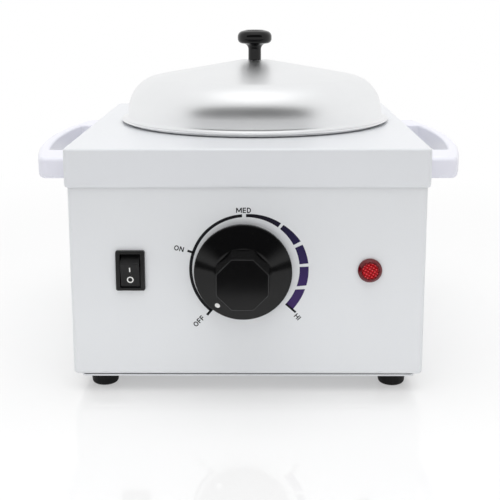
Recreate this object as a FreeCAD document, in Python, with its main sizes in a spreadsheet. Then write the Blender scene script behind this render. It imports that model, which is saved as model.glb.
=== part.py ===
"""Single-pot wax melter: a heated aluminium well in a sheet-metal box, with a lift-out pot and lid.

The origin is on the standing surface, under the middle of the box. The front panel faces -Y,
+X is to the right of someone who faces it, and +Z is up. All sizes are in millimetres.
"""
import FreeCAD, Part
import math
import os
import Sketcher

Vector = FreeCAD.Vector
Rotation = FreeCAD.Rotation
HAIR = 0.01       # shortest side that a sketch keeps
NEAR = 1e-3       # how close an edge must lie to a place to be picked

# Driving sizes. Each becomes one cell of the spreadsheet, and every piece reads it from there.
SIZES = {
    # sheet-metal box
    "cover_width": 188.0,
    "cover_depth": 210.0,
    "cover_skirt": 20.2,
    "cover_sheet": 1.0,
    "cover_gap": 0.4,
    "cover_corner": 2.5,
    "cover_edge_round": 0.9,
    "bend_clearance": 0.1,
    "housing_height": 120.5,
    "housing_sheet": 1.0,
    "housing_corner": 2.5,
    "housing_fold": 2.2,
    "housing_lip": 10.0,
    "plate_sheet": 1.0,
    "plate_inset": 4.8,
    "plate_corner": 3.0,
    "plate_screw_inset": 7.4,
    "plate_screw_end_inset": 37.6,
    "vent_length": 38.0,
    "vent_width": 4.0,
    "vent_pitch": 10.0,
    "vent_rows": 6,
    "vent_offset": 36.0,
    # feet
    "foot_height": 9.0,
    "foot_top_radius": 7.7,
    "foot_base_radius": 7.0,
    "foot_round": 2.0,
    "foot_recess_radius": 3.9,
    "foot_recess_depth": 4.0,
    "foot_inset_side": 14.5,
    "foot_inset_front": 15.5,
    # side handles
    "handle_height": 11.5,
    "handle_half_length": 80.0,
    "handle_end_reach": 17.5,
    "handle_bow": 10.7,
    "handle_bar": 6.2,
    "handle_gap_half": 52.0,
    "handle_end_round": 4.5,
    "handle_gap_round": 3.5,
    "handle_edge_round": 2.4,
    "handle_gap_edge_round": 1.4,
    "handle_bore_roof": 5.5,
    # well, pot and lid share one axis
    "pot_across": 3.4,
    "pot_back": 12.5,
    "well_radius": 71.2,
    "well_sheet": 1.2,
    "well_flange": 7.2,
    "well_depth": 88.0,
    "well_base_round": 7.0,
    "ring_gap": 0.5,
    "stud_reach": 3.8,
    "studs": 4,
    "clamp_ring_overlap": 1.6,
    "clamp_ring_sheet": 1.5,
    "pot_sheet": 1.0,
    "pot_gap": 0.8,
    "pot_floor_gap": 2.0,
    "pot_base_round": 9.0,
    "pot_neck_round": 2.0,
    "pot_flange": 9.0,
    "seat_gap": 0.3,
    "lid_sheet": 0.8,
    "lid_rim_overhang": 2.8,
    "lid_rim": 3.8,
    "lid_wall_lean": 1.7,
    "lid_shoulder_height": 23.1,
    "lid_shoulder_round": 20.4,
    "lid_flare_round": 2.0,
    "lid_crown_radius": 9.0,
    "lid_cone_rise": 12.2,
    "lid_knob_stem": 3.9,
    "lid_knob_head": 10.4,
    "lid_knob_height": 18.1,
    "lid_knob_rim_drop": 1.3,
    "lid_knob_head_thick": 6.4,
    "lid_knob_neck_drop": 1.0,
    "lid_knob_neck_round": 3.4,
    "lid_knob_under_round": 2.8,
    "lid_knob_rim_round": 3.6,
    "lid_knob_dish": 5.6,
    "lid_knob_dish_slope": 0.8,
    "lid_knob_dish_depth": 0.9,
    "lid_knob_bore_roof": 6.6,
    # front controls, measured on the front panel
    "controls_drop": 64.0,
    "knob_across": -2.3,
    "knob_standoff": 3.0,
    "knob_radius": 25.4,
    "knob_edge": 2.2,
    "knob_edge_round": 0.8,
    "knob_skirt_wall": 2.0,
    "knob_dome_radius": 14.0,
    "knob_dome_height": 7.6,
    "knob_dome_round": 6.0,
    "knob_hub_radius": 6.5,
    "knob_grip_flats": 27.6,
    "knob_grip_draft": 2.5,
    "knob_height": 27.6,
    "knob_face_round": 1.0,
    "knob_mark_inset": 4.0,
    "knob_mark_radius": 1.3,
    "knob_mark_depth": 0.3,
    "knob_mark_turn": 142.0,
    "spindle_radius": 3.0,
    "spindle_flat": 1.5,
    "spindle_roof": 8.6,
    "spindle_end_gap": 0.4,
    "running_gap": 0.08,
    "thermostat_width": 38.0,
    "thermostat_height": 42.0,
    "thermostat_depth": 17.0,
    "thermostat_back_wall": 5.6,
    "thermostat_round": 3.0,
    "thermostat_boss": 4.8,
    "thermostat_boss_rise": 1.2,
    "thermostat_tap_depth": 7.5,
    "thermostat_screw_inset": 5.0,
    "capillary_radius": 0.9,
    "capillary_drop": 12.0,
    "capillary_bend": 5.0,
    "bulb_radius": 2.5,
    "bulb_length": 40.0,
    "bulb_round": 1.2,
    "bulb_bearing": 240.0,
    # rocker switch
    "switch_inset": 31.7,
    "bezel_width": 15.2,
    "bezel_height": 21.4,
    "bezel_thick": 2.0,
    "bezel_round": 1.0,
    "bezel_edge_round": 0.6,
    "bezel_lip_side": 1.15,
    "bezel_lip_end": 1.25,
    "switch_body_depth": 14.0,
    "switch_wall": 1.15,
    "switch_end_wall": 0.45,
    "switch_cavity_depth": 8.0,
    "rocker_side_gap": 0.35,
    "rocker_end_gap": 0.45,
    "rocker_face_rise": 3.4,
    "rocker_edge_round": 0.5,
    "rocker_dip": 0.8,
    "rocker_dip_round": 16.0,
    "rocker_foot_half": 3.0,
    "rocker_foot_depth": 1.8,
    "rocker_pivot_depth": 5.0,
    "rocker_pin_radius": 1.0,
    "rocker_pin_end_gap": 0.25,
    "rocker_tilt": 14.0,
    "blade_width": 4.8,
    "blade_thick": 0.8,
    "blade_length": 8.0,
    "blade_spread": 10.0,
    # indicator lamp
    "lamp_inset": 29.1,
    "lens_radius": 6.3,
    "lens_rim": 1.2,
    "lens_height": 2.6,
    "lens_face_inset": 1.4,
    "lens_round": 0.5,
    "lens_core_depth": 4.0,
    "lens_lip": 1.6,
    "lamp_barrel_wall": 0.8,
    "lamp_length": 18.0,
    "lamp_floor": 1.5,
    "lamp_nut_wall": 2.3,
    "lamp_nut_thick": 3.0,
    # heating parts round the well
    "band_height": 36.0,
    "band_thick": 2.4,
    "band_rise": 14.0,
    "band_bulb_gap": 4.0,
    "band_ear": 9.0,
    "band_ear_sheet": 1.5,
    "band_bolt_inset": 3.5,
    "blanket_thick": 4.5,
    "blanket_rise": 6.0,
    "blanket_height": 62.0,
    "blanket_ear_gap": 6.5,
    "blanket_clearance": 0.2,
    "fuse_radius": 2.0,
    "fuse_length": 11.5,
    "fuse_lead_radius": 0.5,
    "fuse_lead_length": 9.0,
    "fuse_across": 20.0,
    # wiring parts
    "block_width": 34.0,
    "block_depth": 18.0,
    "block_height": 14.0,
    "block_round": 1.5,
    "block_inset_side": 52.6,
    "block_inset_back": 35.6,
    "block_pitch": 10.0,
    "block_bore_radius": 2.0,
    "block_bore_rise": 8.5,
    "block_tap_roof": 0.5,
    "earth_inset_side": 72.6,
    "earth_inset_back": 19.6,
    "earth_length": 14.0,
    "gland_inset": 32.6,
    "gland_rise": 26.0,
    "gland_bore_radius": 3.6,
    "gland_wall": 2.4,
    "gland_hex_wall": 2.0,
    "gland_hex_thick": 4.5,
    "gland_collar_inset": 0.5,
    "gland_collar_length": 2.0,
    "gland_nose_length": 9.0,
    "gland_nose_wall": 2.0,
    "gland_nose_round": 1.2,
    "gland_barrel_length": 8.0,
    "gland_nut_wall": 2.5,
    "gland_nut_thick": 4.0,
    # screws, holes and clearances
    "hole_gap": 0.15,
    "contact_gap": 0.1,
    "bore_end_gap": 1.5,
    "screw_tail": 1.0,
    "screw_bite": 3.0,
    "m3_radius": 1.5,
    "m3_head_radius": 2.75,
    "m3_head_height": 1.8,
    "m3_nut_flats": 5.5,
    "m3_nut_thick": 2.4,
    "m4_radius": 2.0,
    "m4_head_radius": 3.6,
    "m4_head_height": 2.3,
    "m4_nut_flats": 7.0,
    "m4_nut_thick": 3.0,
    "washer_radius": 5.0,
    "washer_thick": 0.8,
}


class Length:
    """A number from the sheet, or one worked out from it, with the expression that binds it."""

    def __init__(self, value, text):
        self.value = value
        self.text = text

    def __add__(self, other):
        return Length(self.value + number(other), f"({self.text} + {text(other)})")

    def __radd__(self, other):
        return Length(number(other) + self.value, f"({text(other)} + {self.text})")

    def __sub__(self, other):
        return Length(self.value - number(other), f"({self.text} - {text(other)})")

    def __rsub__(self, other):
        return Length(number(other) - self.value, f"({text(other)} - {self.text})")

    def __mul__(self, other):
        return Length(self.value * number(other), f"({self.text} * {text(other)})")

    def __rmul__(self, other):
        return self * other

    def __truediv__(self, other):
        return Length(self.value / number(other), f"({self.text} / {text(other)})")

    def __rtruediv__(self, other):
        return Length(number(other) / self.value, f"({text(other)} / {self.text})")

    def __neg__(self):
        return Length(-self.value, f"(0 - {self.text})")


def number(size):
    """The plain value of a size."""
    return size.value if isinstance(size, Length) else float(size)


def text(size):
    """The expression of a size."""
    return size.text if isinstance(size, Length) else repr(float(size))


def root(size):
    return Length(math.sqrt(size.value), f"sqrt({size.text})")


def sine(angle):
    return Length(math.sin(math.radians(number(angle))), f"sin({text(angle)})")


def cosine(angle):
    return Length(math.cos(math.radians(number(angle))), f"cos({text(angle)})")


class Sheet:
    """The spreadsheet of driving sizes; each alias reads as an attribute."""

    def __init__(self, document, sizes):
        self.page = document.addObject("Spreadsheet::Sheet", "Sizes")
        for row, (alias, value) in enumerate(sizes.items(), 1):
            self.page.set(f"A{row}", alias)
            self.page.set(f"B{row}", str(value))
            self.page.setAlias(f"B{row}", alias)
        document.recompute()

    def __getattr__(self, alias):
        return Length(float(self.page.getPropertyByName(alias)), f"Sizes.{alias}")


doc = FreeCAD.newDocument("WaxMelter")
size = Sheet(doc, SIZES)


# ---------------------------------------------------------------- modelling helpers

def bind(thing, **sizes):
    """Binds properties of an object to the sheet."""
    for name, value in sizes.items():
        thing.setExpression(name, text(value))


def place(thing, x=0, y=0, z=0, turn=None, angle=None):
    """Puts a piece at x, y, z, turned about the vector turn by an angle in degrees."""
    spin = Rotation(turn, number(angle)) if turn else Rotation()
    thing.Placement = FreeCAD.Placement(Vector(number(x), number(y), number(z)), spin)
    for axis, value in (("x", x), ("y", y), ("z", z)):
        thing.setExpression(f"Placement.Base.{axis}", text(value))
    if isinstance(angle, Length):
        thing.setExpression("Placement.Rotation.Angle", text(angle))


def new_body(label):
    body = doc.addObject("PartDesign::Body", label)
    body.Label = label
    return body


def sketch_on(body, plane, name, shift=0, across=0, up=0):
    """An empty sketch on one of the body's origin planes, shifted along the plane's normal."""
    sketch = body.newObject("Sketcher::SketchObject", name)
    origin = next(feature for feature in body.Origin.OriginFeatures if feature.Role == plane)
    sketch.AttachmentSupport = [(origin, "")]
    sketch.MapMode = "FlatFace"
    for axis, value in (("x", across), ("y", up), ("z", shift)):
        sketch.setExpression(f"AttachmentOffset.Base.{axis}", text(value))
    return sketch


def pin_down(sketch, element, point, x, y):
    """Fixes one point of a sketch at x, y from its origin."""
    for kind, axis, value in (("DistanceX", -2, x), ("DistanceY", -1, y)):
        if not isinstance(value, Length) and value == 0:
            sketch.addConstraint(Sketcher.Constraint("PointOnObject", element, point, axis))
            continue
        made = sketch.addConstraint(Sketcher.Constraint(kind, -1, 1, element, point, number(value)))
        sketch.setExpression(f"Constraints[{made}]", text(value))


def circle(sketch, radius, x=0, y=0):
    ring = sketch.addGeometry(Part.Circle(Vector(number(x), number(y), 0), Vector(0, 0, 1), number(radius)))
    pin_down(sketch, ring, 3, x, y)
    made = sketch.addConstraint(Sketcher.Constraint("Radius", ring, number(radius)))
    sketch.setExpression(f"Constraints[{made}]", text(radius))
    return ring


def bend(sketch, start, middle, stop):
    """Adds an arc, kept anticlockwise as sketches want it, and says which of its ends is which."""
    left = (middle - start).cross(stop - middle).z > 0
    arc = sketch.addGeometry(Part.Arc(start, middle, stop) if left else Part.Arc(stop, middle, start))
    return arc, (1, 2) if left else (2, 1)


def outline(sketch, corners):
    """A closed outline through corners (x, y), or (x, y, radius) where the corner is rounded."""
    spots = [Vector(number(corner[0]), number(corner[1]), 0) for corner in corners]
    count = len(corners)
    starts, ends, arcs = {}, {}, {}
    for i, corner in enumerate(corners):
        spot, before, after = spots[i], spots[i - 1], spots[(i + 1) % count]
        starts[i] = ends[i] = spot
        if len(corner) < 3:
            continue
        back = (before - spot).normalize()
        ahead = (after - spot).normalize()
        half = back.getAngle(ahead) / 2
        radius = number(corner[2])
        ends[i] = spot + back * (radius / math.tan(half))
        starts[i] = spot + ahead * (radius / math.tan(half))
        centre = spot + (back + ahead).normalize() * (radius / math.sin(half))
        middle = centre + (spot - centre).normalize() * radius
        arcs[i] = middle
    lines = [sketch.addGeometry(Part.LineSegment(starts[i], ends[(i + 1) % count])) for i in range(count)]
    for i, corner in enumerate(corners):
        before, after = lines[i - 1], lines[i]
        if i not in arcs:
            sketch.addConstraint(Sketcher.Constraint("Coincident", before, 2, after, 1))
            pin_down(sketch, after, 1, corner[0], corner[1])
            continue
        arc, (first, last) = bend(sketch, ends[i], arcs[i], starts[i])
        sketch.addConstraint(Sketcher.Constraint("Tangent", before, 2, arc, first))
        sketch.addConstraint(Sketcher.Constraint("Tangent", after, 1, arc, last))
        made = sketch.addConstraint(Sketcher.Constraint("Radius", arc, number(corner[2])))
        sketch.setExpression(f"Constraints[{made}]", text(corner[2]))
        tip = sketch.addGeometry(Part.Point(spots[i]), True)
        sketch.addConstraint(Sketcher.Constraint("PointOnObject", tip, 1, before))
        sketch.addConstraint(Sketcher.Constraint("PointOnObject", tip, 1, after))
        pin_down(sketch, tip, 1, corner[0], corner[1])
    return lines


def rectangle(sketch, width, height, radius=None, x=0, y=0):
    """A rectangle centred on x, y, with rounded corners if a radius is given."""
    corners = [(x + side * (width / 2), y + end * (height / 2))
               for side, end in ((-1, -1), (1, -1), (1, 1), (-1, 1))]
    if radius is not None:
        corners = [corner + (radius,) for corner in corners]
    return outline(sketch, corners)


def polygon(sketch, flats, sides):
    """A regular polygon across the given flats, with a flat side towards +X."""
    reach = flats / (2 * math.cos(math.pi / sides))
    turns = [2 * math.pi * (i + 0.5) / sides for i in range(sides)]
    return outline(sketch, [(math.cos(turn) * reach, math.sin(turn) * reach) for turn in turns])


def slot(sketch, length, width, x=0, y=0):
    """A slot with round ends, along the sketch's first axis; a hair of each end's line is kept."""
    return rectangle(sketch, length, width, width / 2 - HAIR, x, y)


def settle(body, feature):
    """Recomputes the document, and stops if the feature failed."""
    doc.recompute()
    if "Invalid" in feature.State or "Error" in feature.State or not feature.isValid():
        raise ValueError(f"{body.Label}: {feature.Name} failed: {feature.getStatusString()}")
    return feature


def pad(body, sketch, length, backward=False, both=False, draft=None):
    feature = body.newObject("PartDesign::Pad", sketch.Name + "Pad")
    feature.Profile = sketch
    feature.Reversed = backward
    feature.Midplane = both
    bind(feature, Length=length)
    if draft is not None:
        bind(feature, TaperAngle=-draft)
    return settle(body, feature)


def revolve(body, sketch):
    """Turns a half section about the sketch's vertical axis."""
    feature = body.newObject("PartDesign::Revolution", sketch.Name + "Turn")
    feature.Profile = sketch
    feature.ReferenceAxis = (sketch, ["V_Axis"])
    feature.Angle = 360
    return settle(body, feature)


def pocket(body, sketch, depth=None, backward=False, both=False):
    """Cuts a sketch into the body, right through if no depth is given; it must remove something."""
    before = body.Shape.Volume
    feature = body.newObject("PartDesign::Pocket", sketch.Name + "Cut")
    feature.Profile = sketch
    feature.Reversed = backward
    feature.Midplane = both
    if depth is None:
        feature.Type = "ThroughAll"
    else:
        bind(feature, Length=depth)
    settle(body, feature)
    if not body.Shape.Volume < before - NEAR:
        raise ValueError(f"{body.Label}: {sketch.Name} cuts nothing")
    return feature


def repeat_round(body, feature, sketch, count):
    """Repeats a feature evenly round the normal of its sketch."""
    pattern = body.newObject("PartDesign::PolarPattern", feature.Name + "Round")
    pattern.Originals = [feature]
    pattern.Axis = (sketch, ["N_Axis"])
    pattern.Angle = 360
    bind(pattern, Occurrences=count)
    body.Tip = pattern
    return settle(body, pattern)


def names_of(kind, elements, wanted):
    return [f"{kind}{i}" for i, element in enumerate(elements, 1) if wanted(element)]


def edges_of(body, wanted):
    """Names of the edges of the body, in its own frame, that a test picks."""
    return names_of("Edge", body.Tip.Shape.Edges, wanted)


def faces_of(body, wanted):
    return names_of("Face", body.Tip.Shape.Faces, wanted)


def round_edges(body, edges, radius):
    if not edges:
        raise ValueError(f"{body.Label}: no edge to round")
    base = body.Tip
    feature = body.newObject("PartDesign::Fillet", "Round")
    feature.Base = (base, edges)
    bind(feature, Radius=radius)
    return settle(body, feature)


def hollow(body, open_face, wall):
    """Shells the body inwards to a wall, open at one face."""
    base = body.Tip
    feature = body.newObject("PartDesign::Thickness", "Shell")
    feature.Base = (base, open_face)
    feature.Reversed = True
    feature.Join = 0
    bind(feature, Value=wall)
    return settle(body, feature)


def level(element, height):
    """True if an edge or face lies flat at one height of its body."""
    box = element.BoundBox
    return abs(box.ZMin - height) < NEAR and abs(box.ZMax - height) < NEAR


def upright(edge):
    box = edge.BoundBox
    return box.XLength < NEAR and box.YLength < NEAR


def upright_at(edge, x, y):
    """True for an upright edge at x and at y or -y."""
    box = edge.BoundBox
    return upright(edge) and abs(box.XMin - number(x)) < NEAR and abs(abs(box.YMin) - number(y)) < NEAR


def outermost(edge, half_width, half_depth):
    """True for an edge that reaches a side or an end of a rectangle about the origin."""
    box = edge.BoundBox
    return (max(box.XMax, -box.XMin) > number(half_width) - NEAR
            or max(box.YMax, -box.YMin) > number(half_depth) - NEAR)


def cylinder(label, radius, height, z=0):
    solid = doc.addObject("Part::Cylinder", label)
    bind(solid, Radius=radius, Height=height)
    place(solid, z=z)
    return solid


def screw_set(label, spots, shank, head, head_height, length, turn=None, angle=None, flat=False):
    """Like screws in one node. Each seats at its spot, with its shank along the turned -Z."""
    screws = []
    for i, (x, y, z) in enumerate(spots):
        if flat:
            cap = doc.addObject("Part::Cone", f"{label}_head{i}")
            bind(cap, Radius1=shank, Radius2=head, Height=head - shank)
            place(cap, z=shank - head)
        else:
            cap = cylinder(f"{label}_head{i}", head, head_height)
        stem = cylinder(f"{label}_shank{i}", shank, length, z=-length)
        screw = doc.addObject("Part::MultiFuse", f"{label}_screw{i}")
        screw.Shapes = [cap, stem]
        screw.Refine = True
        place(screw, x, y, z, turn, angle)
        screws.append(screw)
    return gather(label, screws)


def gather(label, solids):
    """Several loose solids of one kind as one node."""
    group = doc.addObject("Part::Compound", label)
    group.Label = label
    group.Links = solids
    return group


def nut_set(label, spots, flats, thick, bore, turn=None, angle=None):
    """Like hexagon nuts in one node, each standing on its spot."""
    nuts = []
    for i, (x, y, z) in enumerate(spots):
        block = doc.addObject("Part::Prism", f"{label}_hex{i}")
        block.Polygon = 6
        bind(block, Circumradius=flats / math.sqrt(3), Height=thick)
        hole = cylinder(f"{label}_bore{i}", bore, thick * 3, z=-thick)
        nut = doc.addObject("Part::Cut", f"{label}_nut{i}")
        nut.Base = block
        nut.Tool = hole
        place(nut, x, y, z, turn, angle)
        nuts.append(nut)
    return gather(label, nuts)


# ---------------------------------------------------------------- places worked out from the sizes

plate_top = size.foot_height + size.plate_sheet
cover_under = plate_top + size.housing_height
cover_top = cover_under + size.cover_sheet
skirt_bottom = cover_top - size.cover_skirt
skirt_step = size.cover_sheet + size.cover_gap
cover_bend = skirt_step - size.bend_clearance
housing_width = size.cover_width - skirt_step * 2
housing_depth = size.cover_depth - skirt_step * 2
panel_front = -housing_depth / 2
panel_back = housing_depth / 2
controls_height = cover_top - size.controls_drop
hole3 = size.m3_radius + size.hole_gap
hole4 = size.m4_radius + size.hole_gap
cover_hole = size.well_radius - size.well_sheet
well_flange_radius = size.well_radius + size.well_flange
stud_circle = size.well_radius + size.stud_reach
pot_flange_radius = cover_hole + size.pot_flange
lid_rim_radius = pot_flange_radius + size.lid_rim_overhang
lid_crown_height = size.lid_shoulder_height + size.lid_cone_rise
lid_knob_bore_depth = size.lid_knob_height - size.lid_knob_bore_roof
well_flange_under = cover_under - size.well_sheet
ring_under = well_flange_under - size.clamp_ring_sheet
well_floor = cover_under - size.well_depth
pot_seat = cover_top + size.seat_gap
lid_seat = pot_seat + size.pot_sheet + size.seat_gap
handle_screw_height = skirt_bottom + size.handle_height / 2
handle_screw_spread = (size.handle_half_length + size.handle_gap_half) / 2
handle_bore_depth = size.handle_end_reach - size.handle_bore_roof
switch_across = size.switch_inset - housing_width / 2
switch_body_width = size.bezel_width - size.bezel_lip_side * 2
switch_body_height = size.bezel_height - size.bezel_lip_end * 2
switch_cavity_height = switch_body_height - size.switch_end_wall * 2
lamp_across = housing_width / 2 - size.lamp_inset
lamp_barrel_radius = size.lens_radius - size.lens_lip
spindle_front = size.knob_height - size.spindle_roof
spindle_back = size.housing_sheet + size.thermostat_depth - size.thermostat_back_wall - size.spindle_end_gap
band_inner = size.well_radius + size.contact_gap
band_outer = band_inner + size.band_thick
band_gap = (size.bulb_radius + size.band_bulb_gap) * 2
band_bolt_reach = band_outer + size.band_ear - size.band_bolt_inset
gland_across = size.gland_inset - housing_width / 2
gland_barrel_radius = size.gland_bore_radius + size.gland_wall
FORWARD = Vector(1, 0, 0)     # turning by 90 degrees about this lays a local +Z along -Y
UPWARD = Vector(0, 0, 1)
SIDEWAYS = Vector(0, 1, 0)
block_across = size.block_inset_side - housing_width / 2
block_back = housing_depth / 2 - size.block_inset_back
block_tap_depth = size.block_bore_rise - size.block_bore_radius - size.block_tap_roof
earth_across = housing_width / 2 - size.earth_inset_side
earth_back = housing_depth / 2 - size.earth_inset_back
foot_x = housing_width / 2 - size.foot_inset_side
foot_y = housing_depth / 2 - size.foot_inset_front
foot_spots = [("front_left_foot", -1, -1), ("front_right_foot", 1, -1),
              ("back_left_foot", -1, 1), ("back_right_foot", 1, 1)]
plate_screw_x = housing_width / 2 - size.plate_screw_inset
plate_screw_y = housing_depth / 2 - size.plate_screw_end_inset
plate_screw_spots = [(side * plate_screw_x, row * plate_screw_y)
                     for side in (-1, 1) for row in (-1, 0, 1)]
block_screw_spots = [(block_across + side * size.block_pitch, block_back) for side in (-1, 1)]
thermostat_screw_spots = [side * (size.thermostat_width / 2 - size.thermostat_screw_inset)
                          for side in (-1, 1)]


# ---------------------------------------------------------------- sheet-metal box

def make_top_cover():
    """Shallow folded tray, turned over the housing, with the round opening for the well."""
    body = new_body("top_cover")
    place(body, z=skirt_bottom)
    plan = sketch_on(body, "XY_Plane", "CoverPlan")
    rectangle(plan, size.cover_width, size.cover_depth, size.cover_corner)
    pad(body, plan, size.cover_skirt)
    top = number(size.cover_skirt)
    round_edges(body, edges_of(body, lambda edge: level(edge, top)), cover_bend)
    hollow(body, faces_of(body, lambda face: level(face, 0)), size.cover_sheet)
    half_width, half_depth = size.cover_width / 2, size.cover_depth / 2
    rim = edges_of(body, lambda edge: level(edge, 0) and outermost(edge, half_width, half_depth))
    round_edges(body, rim, size.cover_edge_round)
    opening = sketch_on(body, "XY_Plane", "CoverOpening", across=size.pot_across, up=size.pot_back)
    circle(opening, cover_hole)
    pocket(body, opening, backward=True)
    handle_holes = sketch_on(body, "YZ_Plane", "CoverHandleHoles")
    for end in (-1, 1):
        circle(handle_holes, hole4, end * handle_screw_spread, size.handle_height / 2)
    pocket(body, handle_holes, both=True)


def make_lower_housing():
    """Folded box with an inward lip at its foot and the cut-outs for the controls."""
    body = new_body("lower_housing")
    place(body, z=plate_top)
    plan = sketch_on(body, "XY_Plane", "HousingPlan")
    rectangle(plan, housing_width, housing_depth, size.housing_corner)
    pad(body, plan, size.housing_height)
    round_edges(body, edges_of(body, lambda edge: level(edge, 0)), size.housing_fold)
    top = number(size.housing_height)
    hollow(body, faces_of(body, lambda face: level(face, top)), size.housing_sheet)
    mouth = sketch_on(body, "XY_Plane", "HousingMouth")
    rectangle(mouth, housing_width - size.housing_lip * 2, housing_depth - size.housing_lip * 2)
    pocket(body, mouth, size.housing_sheet, backward=True)
    lip_holes = sketch_on(body, "XY_Plane", "HousingLipHoles")
    for x, y in plate_screw_spots:
        circle(lip_holes, hole3, x, y)
    pocket(body, lip_holes, size.housing_sheet, backward=True)
    height = controls_height - plate_top
    front = sketch_on(body, "XZ_Plane", "HousingControls")
    rectangle(front, switch_body_width + size.hole_gap * 2, switch_body_height + size.hole_gap * 2,
              x=switch_across, y=height)
    circle(front, size.thermostat_boss + size.hole_gap, size.knob_across, height)
    for across in thermostat_screw_spots:
        circle(front, hole4, size.knob_across + across, height)
    circle(front, lamp_barrel_radius + size.hole_gap, lamp_across, height)
    pocket(body, front, backward=True)
    back = sketch_on(body, "XZ_Plane", "HousingGlandHole")
    circle(back, gland_barrel_radius + size.hole_gap, gland_across, size.gland_rise)
    pocket(body, back)
    sides = sketch_on(body, "YZ_Plane", "HousingHandleHoles")
    for end in (-1, 1):
        circle(sides, hole4, end * handle_screw_spread, handle_screw_height - plate_top)
    pocket(body, sides, both=True)


def make_bottom_plate():
    """Flat vented plate, screwed up against the housing's lip."""
    body = new_body("bottom_plate")
    place(body, z=size.foot_height)
    plan = sketch_on(body, "XY_Plane", "PlatePlan")
    inset = size.plate_inset * 2
    rectangle(plan, housing_width - inset, housing_depth - inset, size.plate_corner)
    pad(body, plan, size.plate_sheet)
    holes = sketch_on(body, "XY_Plane", "PlateHoles")
    for x, y in plate_screw_spots:
        circle(holes, hole3, x, y)
    for x, y in block_screw_spots:
        circle(holes, hole3, x, y)
    for name, side, end in foot_spots:
        circle(holes, hole4, side * foot_x, end * foot_y)
    circle(holes, hole4, earth_across, earth_back)
    pocket(body, holes, backward=True)
    vent = sketch_on(body, "XY_Plane", "PlateVent")
    first = -(size.vent_rows - 1) * size.vent_pitch / 2
    for side in (-1, 1):
        slot(vent, size.vent_length, size.vent_width, side * size.vent_offset, first)
    cut = pocket(body, vent, backward=True)
    rows = body.newObject("PartDesign::LinearPattern", "PlateVentRows")
    rows.Originals = [cut]
    rows.Direction = (vent, ["V_Axis"])
    bind(rows, Length=(size.vent_rows - 1) * size.vent_pitch, Occurrences=size.vent_rows)
    body.Tip = rows
    doc.recompute()


def make_foot(label, side, end):
    """Tapered rubber foot with a recess for its screw head."""
    body = new_body(label)
    place(body, side * foot_x, end * foot_y)
    section = sketch_on(body, "XZ_Plane", "FootSection")
    outline(section, [
        (hole4, size.foot_recess_depth),
        (size.foot_recess_radius, size.foot_recess_depth),
        (size.foot_recess_radius, 0),
        (size.foot_base_radius, 0, size.foot_round),
        (size.foot_top_radius, size.foot_height),
        (hole4, size.foot_height),
    ])
    revolve(body, section)


def make_handle(label, side):
    """Moulded D-shaped handle: two end pads on the skirt, joined by a bowed bar."""
    body = new_body(label)
    turn = 0 if side > 0 else 180
    place(body, side * (size.cover_width / 2), 0, skirt_bottom, UPWARD, turn)
    half, reach, bar = size.handle_half_length, size.handle_end_reach, size.handle_bar
    sag = size.handle_bow
    middle = reach + sag
    bow = (half * half + sag * sag) / (sag * 2)
    centre = middle - bow
    gap = size.handle_gap_half
    inner = bow - bar
    gap_reach = centre + root(inner * inner - gap * gap)
    plan = sketch_on(body, "XY_Plane", "HandlePlan")
    spots = {
        "foot_low": (0, -half),
        "end_low": (reach, -half),
        "end_high": (reach, half),
        "foot_high": (0, half),
        "root_high": (0, gap),
        "gap_high": (gap_reach, gap),
        "gap_low": (gap_reach, -gap),
        "root_low": (0, -gap),
    }
    order = list(spots)
    bows = {"end_low": (bow, middle), "gap_high": (inner, middle - bar)}
    edges = []
    ends = {}
    for here, there in zip(order, order[1:] + order[:1]):
        start = Vector(number(spots[here][0]), number(spots[here][1]), 0)
        stop = Vector(number(spots[there][0]), number(spots[there][1]), 0)
        if here not in bows:
            edges.append(plan.addGeometry(Part.LineSegment(start, stop)))
            ends[edges[-1]] = (1, 2)
            continue
        radius, top = bows[here]
        edge, numbers = bend(plan, start, Vector(number(top), 0, 0), stop)
        edges.append(edge)
        ends[edge] = numbers
        made = plan.addConstraint(Sketcher.Constraint("Radius", edge, number(radius)))
        plan.setExpression(f"Constraints[{made}]", text(radius))
    for i, here in enumerate(order):
        before, after = edges[i - 1], edges[i]
        plan.addConstraint(Sketcher.Constraint("Coincident", before, ends[before][1], after, ends[after][0]))
        x, y = spots[here]
        if here in ("gap_high", "gap_low"):
            made = plan.addConstraint(
                Sketcher.Constraint("DistanceY", -1, 1, after, ends[after][0], number(y)))
            plan.setExpression(f"Constraints[{made}]", text(y))
            continue
        pin_down(plan, after, ends[after][0], x, y)
    arcs = [edge for here, edge in zip(order, edges) if here in bows]
    plan.addConstraint(Sketcher.Constraint("Coincident", arcs[0], 3, arcs[1], 3))
    pad(body, plan, size.handle_height)
    round_edges(body, edges_of(body, lambda edge: upright_at(edge, reach, half)), size.handle_end_round)
    round_edges(body, edges_of(body, lambda edge: upright_at(edge, gap_reach, gap)), size.handle_gap_round)
    top = number(size.handle_height)
    inside = number(gap) + NEAR
    for outer, radius in ((True, size.handle_edge_round), (False, size.handle_gap_edge_round)):
        rims = edges_of(body, lambda edge: (level(edge, 0) or level(edge, top)) and edge.BoundBox.XMax > NEAR
                        and (edge.BoundBox.YMax > inside or edge.BoundBox.YMin < -inside) == outer)
        round_edges(body, rims, radius)
    bores = sketch_on(body, "YZ_Plane", "HandleBores")
    for end in (-1, 1):
        circle(bores, hole4, end * handle_screw_spread, size.handle_height / 2)
    pocket(body, bores, handle_bore_depth, backward=True)


def make_handle_screws():
    """Pan-head screws that pass through the housing wall and the skirt into the handle pads."""
    seat = housing_width / 2 - size.housing_sheet
    length = size.housing_sheet + skirt_step + handle_bore_depth - size.bore_end_gap
    for side, name in ((-1, "left"), (1, "right")):
        spots = [(side * seat, end * handle_screw_spread, handle_screw_height) for end in (-1, 1)]
        screw_set(f"{name}_handle_screws", spots, size.m4_radius, size.m4_head_radius,
                  size.m4_head_height, length, SIDEWAYS, -90 * side)


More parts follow.
